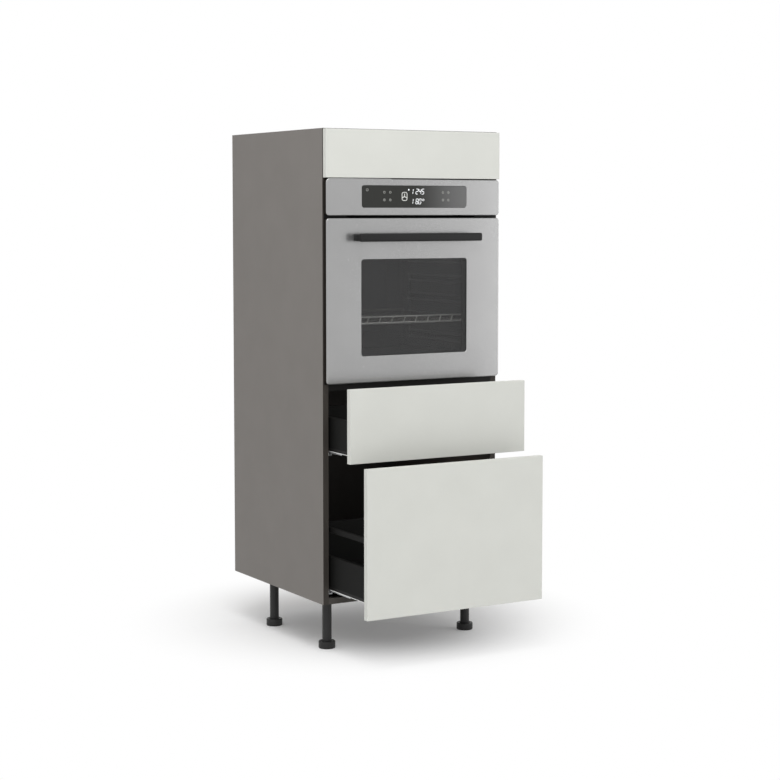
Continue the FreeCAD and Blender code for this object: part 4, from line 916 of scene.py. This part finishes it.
# ---------------- display; its marks are placed from the middle of the glass, right and up
SEGMENTS = {  # across and up, as shares of a digit
    "a": ((0, 1), (1, 1)), "b": ((1, 1), (1, 0.5)), "c": ((1, 0.5), (1, 0)), "d": ((0, 0), (1, 0)),
    "e": ((0, 0.5), (0, 0)), "f": ((0, 1), (0, 0.5)), "g": ((0, 0.5), (1, 0.5)),
}
DIGITS = {"0": "abcdef", "1": "ef", "2": "abged", "4": "fgbc", "5": "afgcd", "8": "abcdefg"}
DIGIT_WIDTH = 0.007
DIGIT_HEIGHT = 0.015
DIGIT_PITCH = 0.0102
DIGIT_SLANT = 0.16
DIGIT_STROKE = 0.0012
DIGIT_GAP = 0.1  # at each end of a stroke, as a share of it
DIGITS_LEFT = -0.0085
CLOCK_RISE = 0.0075
HEAT_RISE = -0.0215
DEGREE_SIGN = (0.0280, -0.0095)
DEGREE_RING = (0.0028, 0.0009)  # radius and stroke
LIT_DOT = (-0.0220, 0.020)
LIT_DOT_RING = (0.0013, 0.0016)
KEY_RING = (0.0032, 0.0013)
KEY_COLUMNS = (-0.105, -0.085, 0.0966, 0.1155)
KEY_ROWS = (0.0124, -0.0098)
KEY_DASH = 0.004
KEY_TICK = 0.0022
POWER_SIGN = (-0.1626, 0.0195)
POWER_RADIUS = 0.0036
POWER_STROKE = 0.001
POWER_TICK = (0.0005, 0.0045)
FAN_SIGN = (-0.0364, 0.0005)
FAN_SIGN_SIZE = (0.017, 0.024)
FAN_SIGN_CORNER = 0.006
FAN_SIGN_STROKE = 0.0022
FAN_SIGN_BLADE = (0.0085, 0.0026)  # length and stroke
MARKS_PROUD = 0.0001
RING_STEPS = 24


def digit_runs(text, left, low, y):
    runs = []
    for i, character in enumerate(text):
        for name in DIGITS[character]:
            start, end = (Vector(corner) for corner in SEGMENTS[name])
            ends = []
            for share in (DIGIT_GAP, 1 - DIGIT_GAP):
                u, v = start.lerp(end, share)
                z = v * DIGIT_HEIGHT
                ends.append((left + DIGIT_PITCH * i + u * DIGIT_WIDTH + z * DIGIT_SLANT, y, low + z))
            runs.append((ends, DIGIT_STROKE, False))
    return runs


def ring_run(place, radius, stroke):
    return arc(place, radius, 0, 360, RING_STEPS)[:-1], stroke, True


def fan_sign(middle):
    """A square with round corners round three blades."""
    low, high = centred(middle, FAN_SIGN_SIZE)
    square = [low, (high.x, middle.y, low.z), high, (low.x, middle.y, high.z)]
    runs = [(rounded(square, FAN_SIGN_CORNER, closed=True), FAN_SIGN_STROKE, True)]
    length, stroke = FAN_SIGN_BLADE
    for turn in (90, 210, 330):
        along = Vector((cos(radians(turn)), 0, sin(radians(turn))))
        runs.append(([middle, middle + along * length], stroke, False))
    return runs


def display_marks():
    low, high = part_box("display_glass")
    middle = Vector((0, low.y - MARKS_PROUD, (low.z + high.z) / 2))

    def at(x, rise):
        return middle + Vector((x, 0, rise))

    bright = digit_runs("1245", DIGITS_LEFT, middle.z + CLOCK_RISE, middle.y)
    bright += digit_runs("180", DIGITS_LEFT, middle.z + HEAT_RISE, middle.y)
    bright.append(ring_run(at(*DEGREE_SIGN), *DEGREE_RING))
    bright.append(ring_run(at(*LIT_DOT), *LIT_DOT_RING))

    stroke = KEY_RING[1]
    upper, lower = KEY_ROWS
    dim = [ring_run(at(x, rise), *KEY_RING) for x in KEY_COLUMNS for rise in KEY_ROWS]
    for x in KEY_COLUMNS:
        dim.append(([at(x - KEY_DASH / 2, lower), at(x + KEY_DASH / 2, lower)], stroke, False))
        dim.append(([at(x, upper), at(x, upper + KEY_TICK)], stroke, False))
    x, rise = POWER_SIGN
    dim.append((arc(at(x, rise), POWER_RADIUS, 120, 420, RING_STEPS), POWER_STROKE, False))
    dim.append(([at(x, rise + end) for end in POWER_TICK], POWER_STROKE, False))

    for name, runs, look in (("display_figures", bright, "lit_mark"),
                             ("display_fan_sign", fan_sign(at(*FAN_SIGN)), "soft_mark"),
                             ("display_symbols", dim, "dim_mark")):
        piece(name, rods(runs, 2), "dark_glass", look=look, sharp=FINE_SHARP)


# ---------------- inside the oven
ROD = 0.006
THIN_ROD = 0.004
HEATER_TUBE = 0.007
CAVITY_CORNER = 0.016
CAVITY_BEND = 0.014
CAVITY_SHEET = 0.0012
COVER_CORNER = 0.030
COVER_BEND = 0.008
COVER_SHEET = 0.0015
COVER_SCREW_INSET = 0.016
INTAKE_SLOTS = 14
INTAKE_INNER = 0.022
INTAKE_OUTER = 0.058
INTAKE_WIDTH = 0.005
OUTLET_SLOTS = 5
OUTLET_PITCH = 0.036
OUTLET_LENGTH = 0.022
OUTLET_WIDTH = 0.015
SLOT_REACH = 0.004
CAPSULE_STEPS = 6
HUB_FRONT = 0.026  # before the cavity's rear wall
NUT_PROFILE = ((0, -0.006), (0.0035, -0.006), (0.0035, -0.004), (0.0062, -0.0035), (0.0065, 0.0), (0, 0.0))
LADDER_LEVELS = 5
UPRIGHT_INSET = 0.004
GUIDE_GAP = 0.020
GUIDE_OFFSET = 0.0045
GUIDE_TURN = 0.012
GUIDE_BEND = 0.006
SHELF_BARS = 9
SHELF_BAR_PITCH = 0.042
SHELF_WIRE_INSET = 0.0035
SHELF_CORNER = 0.012
FENCE_INSET = 0.0115
FENCE_BEND = 0.008
GALLERY_LEAN = 0.014
RING_TERMINAL_HALF = 0.015
RING_ELEMENT_STEPS = 72
GRILL_RUNS = 6
GRILL_TURN_STEPS = 16
GRILL_REAR_SPACE = 0.070
SEAL_WIDTH = 0.007
DOME_SHARE = 0.86  # of the bezel's radius
LAMP_NECK = 0.015
BEZEL_PROFILE = ((0.88, -0.0035), (0.97, -0.003), (1, -0.0015), (1, 0))  # shares of the radius


def cavity():
    low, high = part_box("oven_cavity")
    maker = bmesh.new()
    dish(maker, low, high, CAVITY_CORNER + CAVITY_SHEET, CAVITY_BEND, CAVITY_SHEET, low.y, high.y)
    piece("oven_cavity_pressed", maker, "enamel", replaces="oven_cavity")


def capsule(maker, start, end, radius, direction):
    """Adds a slot-shaped tool with round ends, that reaches both ways along the direction."""
    direction = Vector(direction)
    run = (Vector(end) - Vector(start)).normalized()
    side = direction.cross(run)
    outline = []
    for centre, first in ((Vector(end), -90), (Vector(start), 90)):
        for step in range(CAPSULE_STEPS + 1):
            turn = radians(first + 180 * step / CAPSULE_STEPS)
            outline.append(centre + run * radius * cos(turn) + side * radius * sin(turn))
    rings = [[point + direction * reach for point in outline] for reach in (-SLOT_REACH, SLOT_REACH)]
    centres = [[sum(ring, Vector()) / len(ring)] for ring in rings]
    loft(maker, [centres[0], *rings, centres[1]])


def fan_cover():
    """The pressed cover of the fan, with a star of intake slots and outlet slots in its sides."""
    low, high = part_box("fan_cover")
    middle = (low + high) / 2
    axis = Vector((0, low.y, middle.z))
    maker, slots = bmesh.new(), bmesh.new()
    dish(maker, low, high, COVER_CORNER, COVER_BEND, COVER_SHEET, high.y, low.y)
    round_end = INTAKE_WIDTH / 2
    for i in range(INTAKE_SLOTS):
        turn = 2 * pi * i / INTAKE_SLOTS
        along = Vector((cos(turn), 0, sin(turn)))
        capsule(slots, axis + along * (INTAKE_INNER + round_end), axis + along * (INTAKE_OUTER - round_end),
                round_end, (0, 1, 0))
    reach = (OUTLET_LENGTH - OUTLET_WIDTH) / 2
    for i in range(OUTLET_SLOTS):
        z = middle.z + OUTLET_PITCH * (i - (OUTLET_SLOTS - 1) / 2)
        for x in (low.x, high.x):
            capsule(slots, (x, middle.y, z - reach), (x, middle.y, z + reach), OUTLET_WIDTH / 2, (1, 0, 0))
    piece("fan_cover_pressed", cut(maker, slots), "enamel", replaces="fan_cover")
    inset = COVER_SCREW_INSET
    heads = upright_grid((low.x + inset, high.x - inset), low.y, (low.z + inset, high.z - inset))
    # screws in the darkened wire: painted shade
    screws("fan_cover_screws", heads, (0, -1, 0), look="shade_painted_wire")
    nut = bmesh.new()
    turned(nut, NUT_PROFILE, (0, high.y - HUB_FRONT, middle.z), (0, 1, 0), sides=6)
    piece("fan_nut", nut, "zinc", "fan")


def ladders():
    """Wire side racks: guide wires bent to the uprights at both ends, and pegs into the wall."""
    low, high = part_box("shelf_ladders")
    last = high.z - ROD - GUIDE_GAP
    guides = [z + gap for z in spaced(low.z + ROD, last, LADDER_LEVELS) for gap in (0, GUIDE_GAP)]
    runs = []
    for side in (-1, 1):
        upright = side * (high.x - UPRIGHT_INSET)
        guide = side * (high.x - UPRIGHT_INSET - GUIDE_OFFSET)
        for y in (low.y + ROD, high.y - ROD):
            runs.append(([(upright, y, low.z), (upright, y, high.z)], ROD, False))
            for z in (low.z + ROD, high.z - ROD):
                runs.append(([(upright, y, z), (side * high.x, y, z)], THIN_ROD, False))
        for z in guides:
            ends = [(upright, low.y + ROD / 2, z), (guide, low.y + GUIDE_TURN, z),
                    (guide, high.y - GUIDE_TURN, z), (upright, high.y - ROD / 2, z)]
            runs.append((rounded(ends, GUIDE_BEND), ROD, False))
    # the racks in near-black wire: painted shade
    piece("shelf_ladders_wire", rods(runs), "chrome_wire", replaces="shelf_ladders", look="dark_wire",
          sharp=ROD_SHARP)


def wire_shelf():
    """A bent frame with bars from front to back, a raised fence behind and a leaning gallery in front."""
    low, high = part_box("wire_shelf")
    half = high.x - ROD / 2
    fence_half = half - FENCE_INSET
    front, rear = low.y + ROD / 2, high.y - ROD / 2
    foot = front + GALLERY_LEAN
    z, fence = low.z + SHELF_WIRE_INSET, high.z - SHELF_WIRE_INSET

    def hoop(foot_y, top_y):
        return [(-fence_half, foot_y, z), (-fence_half, top_y, fence), (fence_half, top_y, fence),
                (fence_half, foot_y, z)]

    corners = [(-half, foot, z), (half, foot, z), (half, rear, z), (-half, rear, z)]
    rim = hoop(foot, front)
    grid = [(rounded(corners, SHELF_CORNER, closed=True), ROD, True),
            (rounded(hoop(rear, rear), FENCE_BEND), ROD, False)]
    gallery = [(rounded(rim, FENCE_BEND), THIN_ROD, False), (rim[::3], ROD, False)]
    for i in range(SHELF_BARS):
        x = SHELF_BAR_PITCH * (i - (SHELF_BARS - 1) / 2)
        grid.append(([(x, foot, z), (x, rear, z)], THIN_ROD, False))
        gallery.append(([(x, foot, z), (x, front, fence)], THIN_ROD, False))
    # frame and bars in the darkened wire: painted shade; the gallery keeps the chrome
    piece("wire_shelf_grid", rods(grid), "chrome_wire", replaces="wire_shelf", look="shade_painted_wire",
          sharp=ROD_SHARP)
    piece("wire_shelf_gallery", rods(gallery), "chrome_wire", sharp=ROD_SHARP)


def ring_heater():
    low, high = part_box("ring_element")
    radius = (high.x - low.x - HEATER_TUBE) / 2
    centre = Vector((0, low.y + HEATER_TUBE / 2, high.z - HEATER_TUBE / 2 - radius))
    gap = degrees(asin(RING_TERMINAL_HALF / radius))
    ring = arc(centre, radius, -90 + gap, 270 - gap, RING_ELEMENT_STEPS)
    start, end = (Vector((point.x, high.y, point.z)) for point in (ring[0], ring[-1]))
    piece("ring_element_tube", rods([([start, *ring, end], HEATER_TUBE, False)]), "element",
          replaces="ring_element", sharp=ROD_SHARP)


def grill_heater():
    low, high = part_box("grill_element")
    half = high.x - HEATER_TUBE / 2
    pitch = 2 * half / (GRILL_RUNS - 1)
    z = (low.z + high.z) / 2
    near, far = low.y + HEATER_TUBE / 2 + pitch / 2, high.y - GRILL_REAR_SPACE
    route = [Vector((-half, high.y, z))]
    for i in range(GRILL_RUNS - 1):
        turn_y, end = (near, 360) if i % 2 == 0 else (far, 0)
        route += arc((-half + pitch * (i + 0.5), turn_y, z), pitch / 2, 180, end, GRILL_TURN_STEPS, (0, 1))
    route.append(Vector((half, high.y, z)))
    piece("grill_element_tube", rods([(route, HEATER_TUBE, False)]), "element", replaces="grill_element",
          sharp=ROD_SHARP)


def seal():
    """A round gasket that runs round the mouth of the cavity."""
    low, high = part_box("door_seal")
    ring = plate_ring(low, high, CAVITY_CORNER + SEAL_WIDTH, (low.y + high.y) / 2, SEAL_WIDTH / 2)
    piece("door_seal_gasket", rods([(ring, high.y - low.y, True)]), "seal", replaces="door_seal",
          sharp=FINE_SHARP)


def lamp():
    """The lamp's glass dome in a flat bezel, and its neck behind the cavity's wall."""
    low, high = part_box("oven_lamp")
    middle = (low + high) / 2
    radius = (high.x - low.x) / 2
    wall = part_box("oven_cavity")[1].y - CAVITY_SHEET
    depth, neck = wall - low.y, high.y - wall
    profile = [(0, -depth)]
    for turn in range(15, 76, 15):
        across, ahead = sin(radians(turn)), cos(radians(turn))
        profile.append((radius * DOME_SHARE * across, -depth * ahead))
    profile += [(radius * share, height) for share, height in BEZEL_PROFILE]
    profile += [(LAMP_NECK, 0), (LAMP_NECK, neck), (0, neck)]
    maker = bmesh.new()
    turned(maker, profile, (middle.x, wall, middle.z), (0, 1, 0), sides=ROUND_SIDES)
    piece("oven_lamp_dome", maker, "lamp_glass", replaces="oven_lamp")


# ---------------- oven casing
CASING_SCREW_EDGE = 0.010
CASING_SCREWS_A_SIDE = 5
TOP_SCREWS_A_SIDE = 4
TOP_SCREW_END = 0.04
TERMINAL_FOOT = 0.010
TERMINAL_SCREW_RISE = 0.030
TERMINAL_EDGE = 0.009
GLAND_LIFT = 0.001
GLAND_NUT = ((0.0052, 0), (0.0084, 0), (0.009, 0.0006), (0.009, 0.0044), (0.0084, 0.005), (0.0052, 0.005))


def casing_screws():
    edge = CASING_SCREW_EDGE
    low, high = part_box("oven_rear_cover")
    sides = (low.x + edge, high.x - edge)
    places = upright_grid(spaced(*sides, CASING_SCREWS_A_SIDE), high.y, (low.z + edge, high.z - edge))
    places += upright_grid(sides, high.y, spaced(low.z, high.z, CASING_SCREWS_A_SIDE)[1:-1])
    screws("rear_cover_screws", places, (0, 1, 0))
    low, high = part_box("oven_top_cover")
    rows = spaced(low.y + TOP_SCREW_END, high.y - TOP_SCREW_END, TOP_SCREWS_A_SIDE)
    places = [(x, y, high.z) for x in (low.x + edge, high.x - edge) for y in rows]
    screws("top_cover_screws", places, (0, 0, 1))


def terminal():
    """The screws of the terminal box's lid, and the nut of its cable gland."""
    low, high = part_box("terminal_box")
    level = low.z + TERMINAL_FOOT + TERMINAL_SCREW_RISE
    heads = upright_grid((low.x + TERMINAL_EDGE, high.x - TERMINAL_EDGE), high.y, (level,))
    screws("terminal_screws", heads, (0, 1, 0), radius=SMALL_SCREW)
    maker = bmesh.new()
    place = ((low.x + high.x) / 2, low.y + TERMINAL_EDGE, low.z + GLAND_LIFT)
    turned(maker, GLAND_NUT, place, sides=6)
    piece("terminal_gland_nut", maker, "terminal_plastic")


# ---------------- studio
WORLD_LIGHT = 0.55
FLOOR_HALF = 60.0
SHADOW_MIDDLE = (0.05, 0.20, 0.0)
FLOOR_SHADE_REACH = 0.25
FLOOR_WHITE_REACH = 0.8
FLOOR_LIFT = 0.12  # how much of the floor is plain white where its shadow is deepest
LIGHT_TARGET = (0, 0, 0.8)
AREA_LIGHTS = {  # place, side and power
    "key": ((-2.2, -3.0, 3.2), 2.4, 33),
    "fill": ((3.1, -2.5, 1.2), 2.0, 22),
    "top": ((-1.0, -1.1, 4.0), 1.6, 52),
}
INNER_LIGHT_SIZE = 0.02
OVEN_LIGHT = (-0.05, 0.09, -0.07, 4.0)  # X, from the cavity's mouth, from its roof, and power
DRAWER_LIGHT = (0, 0.15, -0.045, 0.7)  # X, from the shelf's front edge, from the board above, and power


def background_rays(tree):
    """1 for the rays that show the background: to the camera, by a mirror and through a pane."""
    camera_ray, glossy_ray, through = [add(tree, "LightPath", {}, f"Is {kind} Ray")
                                       for kind in ("Camera", "Glossy", "Transmission")]
    return calculated(tree, "MAXIMUM", calculated(tree, "MAXIMUM", camera_ray, glossy_ray), through)


def floor_finish():
    """White floor that keeps the object's shadow and runs into the white background."""
    material, tree, shader = new_material("studio_floor")
    tree.nodes.remove(shader)
    diffuse = add(tree, "BsdfDiffuse", {"Color": linear(FLOOR_WHITE)})
    white = add(tree, "Emission", {})
    length = add(tree, "VectorMath", {0: object_space(tree)}, "Value", operation="LENGTH")
    far = ranged(tree, length, FLOOR_SHADE_REACH, FLOOR_WHITE_REACH, FLOOR_LIFT, 1.0, True)
    share = calculated(tree, "MULTIPLY", background_rays(tree), far)
    mix = add(tree, "MixShader", {0: share, 1: diffuse, 2: white})
    connect(tree, tree.nodes["Material Output"], {"Surface": mix})
    return material


def floor():
    mesh = bpy.data.meshes.new("studio_floor")
    corners = [(x * FLOOR_HALF, y * FLOOR_HALF, 0) for x, y in ((-1, -1), (1, -1), (1, 1), (-1, 1))]
    mesh.from_pydata(corners, [], [(0, 1, 2, 3)])
    mesh.materials.append(floor_finish())
    obj = in_scene("studio_floor", mesh)
    obj.location = SHADOW_MIDDLE


def world():
    """Plain soft light, and white where the camera, a mirror or a pane looks past the object."""
    bpy.context.scene.world = bpy.data.worlds.new("studio")
    bpy.context.scene.world.use_nodes = True
    tree = bpy.context.scene.world.node_tree
    strength = ranged(tree, background_rays(tree), 0.0, 1.0, WORLD_LIGHT, 1.0)
    connect(tree, tree.nodes["Background"], {"Color": (1, 1, 1, 1), "Strength": strength})


def light(name, kind, place, power):
    data = bpy.data.lights.new(name, kind)
    data.energy = power
    obj = in_scene(name, data)
    obj.location = place
    return obj, data


def inner_light(name, front, roof, values):
    """A small soft light inside the unit, which no mirror shows."""
    x, back, up, power = values
    obj, data = light(name, "POINT", (x, front + back, roof + up), power)
    data.shadow_soft_size = INNER_LIGHT_SIZE
    obj.visible_glossy = False


def lights():
    """The oven's own light, which is on while the display shows a temperature, a trace of light over each
    drawer, and the studio's square lights."""
    low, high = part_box("oven_cavity")
    inner_light("oven_light", low.y, high.z, OVEN_LIGHT)
    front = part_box("oven_shelf")[0].y
    for drawer, above in (("upper", "oven_shelf"), ("lower", "upper_base")):
        inner_light(drawer + "_drawer_light", front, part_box(above)[0].z, DRAWER_LIGHT)
    for name, (place, side, power) in AREA_LIGHTS.items():
        obj, data = light(name, "AREA", place, power)
        data.size = side
        obj.rotation_euler = (Vector(LIGHT_TARGET) - Vector(place)).to_track_quat("-Z", "Y").to_euler()


def camera():
    data = bpy.data.cameras.new("camera")
    data.sensor_width = SENSOR_MM
    data.lens = SENSOR_MM * FOCAL_PX / IMAGE_SIDE
    data.shift_y = -RISE_PX / IMAGE_SIDE
    data.clip_end = CAMERA_REACH
    obj = in_scene("camera", data)
    obj.location = CAMERA_PLACE
    obj.rotation_euler = (pi / 2 - CAMERA_PITCH, 0, -CAMERA_YAW)
    bpy.context.scene.camera = obj


bpy.context.scene.view_settings.view_transform = "Standard"
dress_cad_nodes()
cams()
carcass_screws()
legs()
for drawer_name in ("lower", "upper"):
    side_caps(drawer_name)
    runner_clips(drawer_name)
runner_fittings()
door_skin()
control_skin()
handle()
exhaust_channel()
front_screws()
pane_clips()
display_marks()
cavity()
fan_cover()
ladders()
wire_shelf()
ring_heater()
grill_heater()
seal()
lamp()
casing_screws()
terminal()
floor()
world()
lights()
camera()
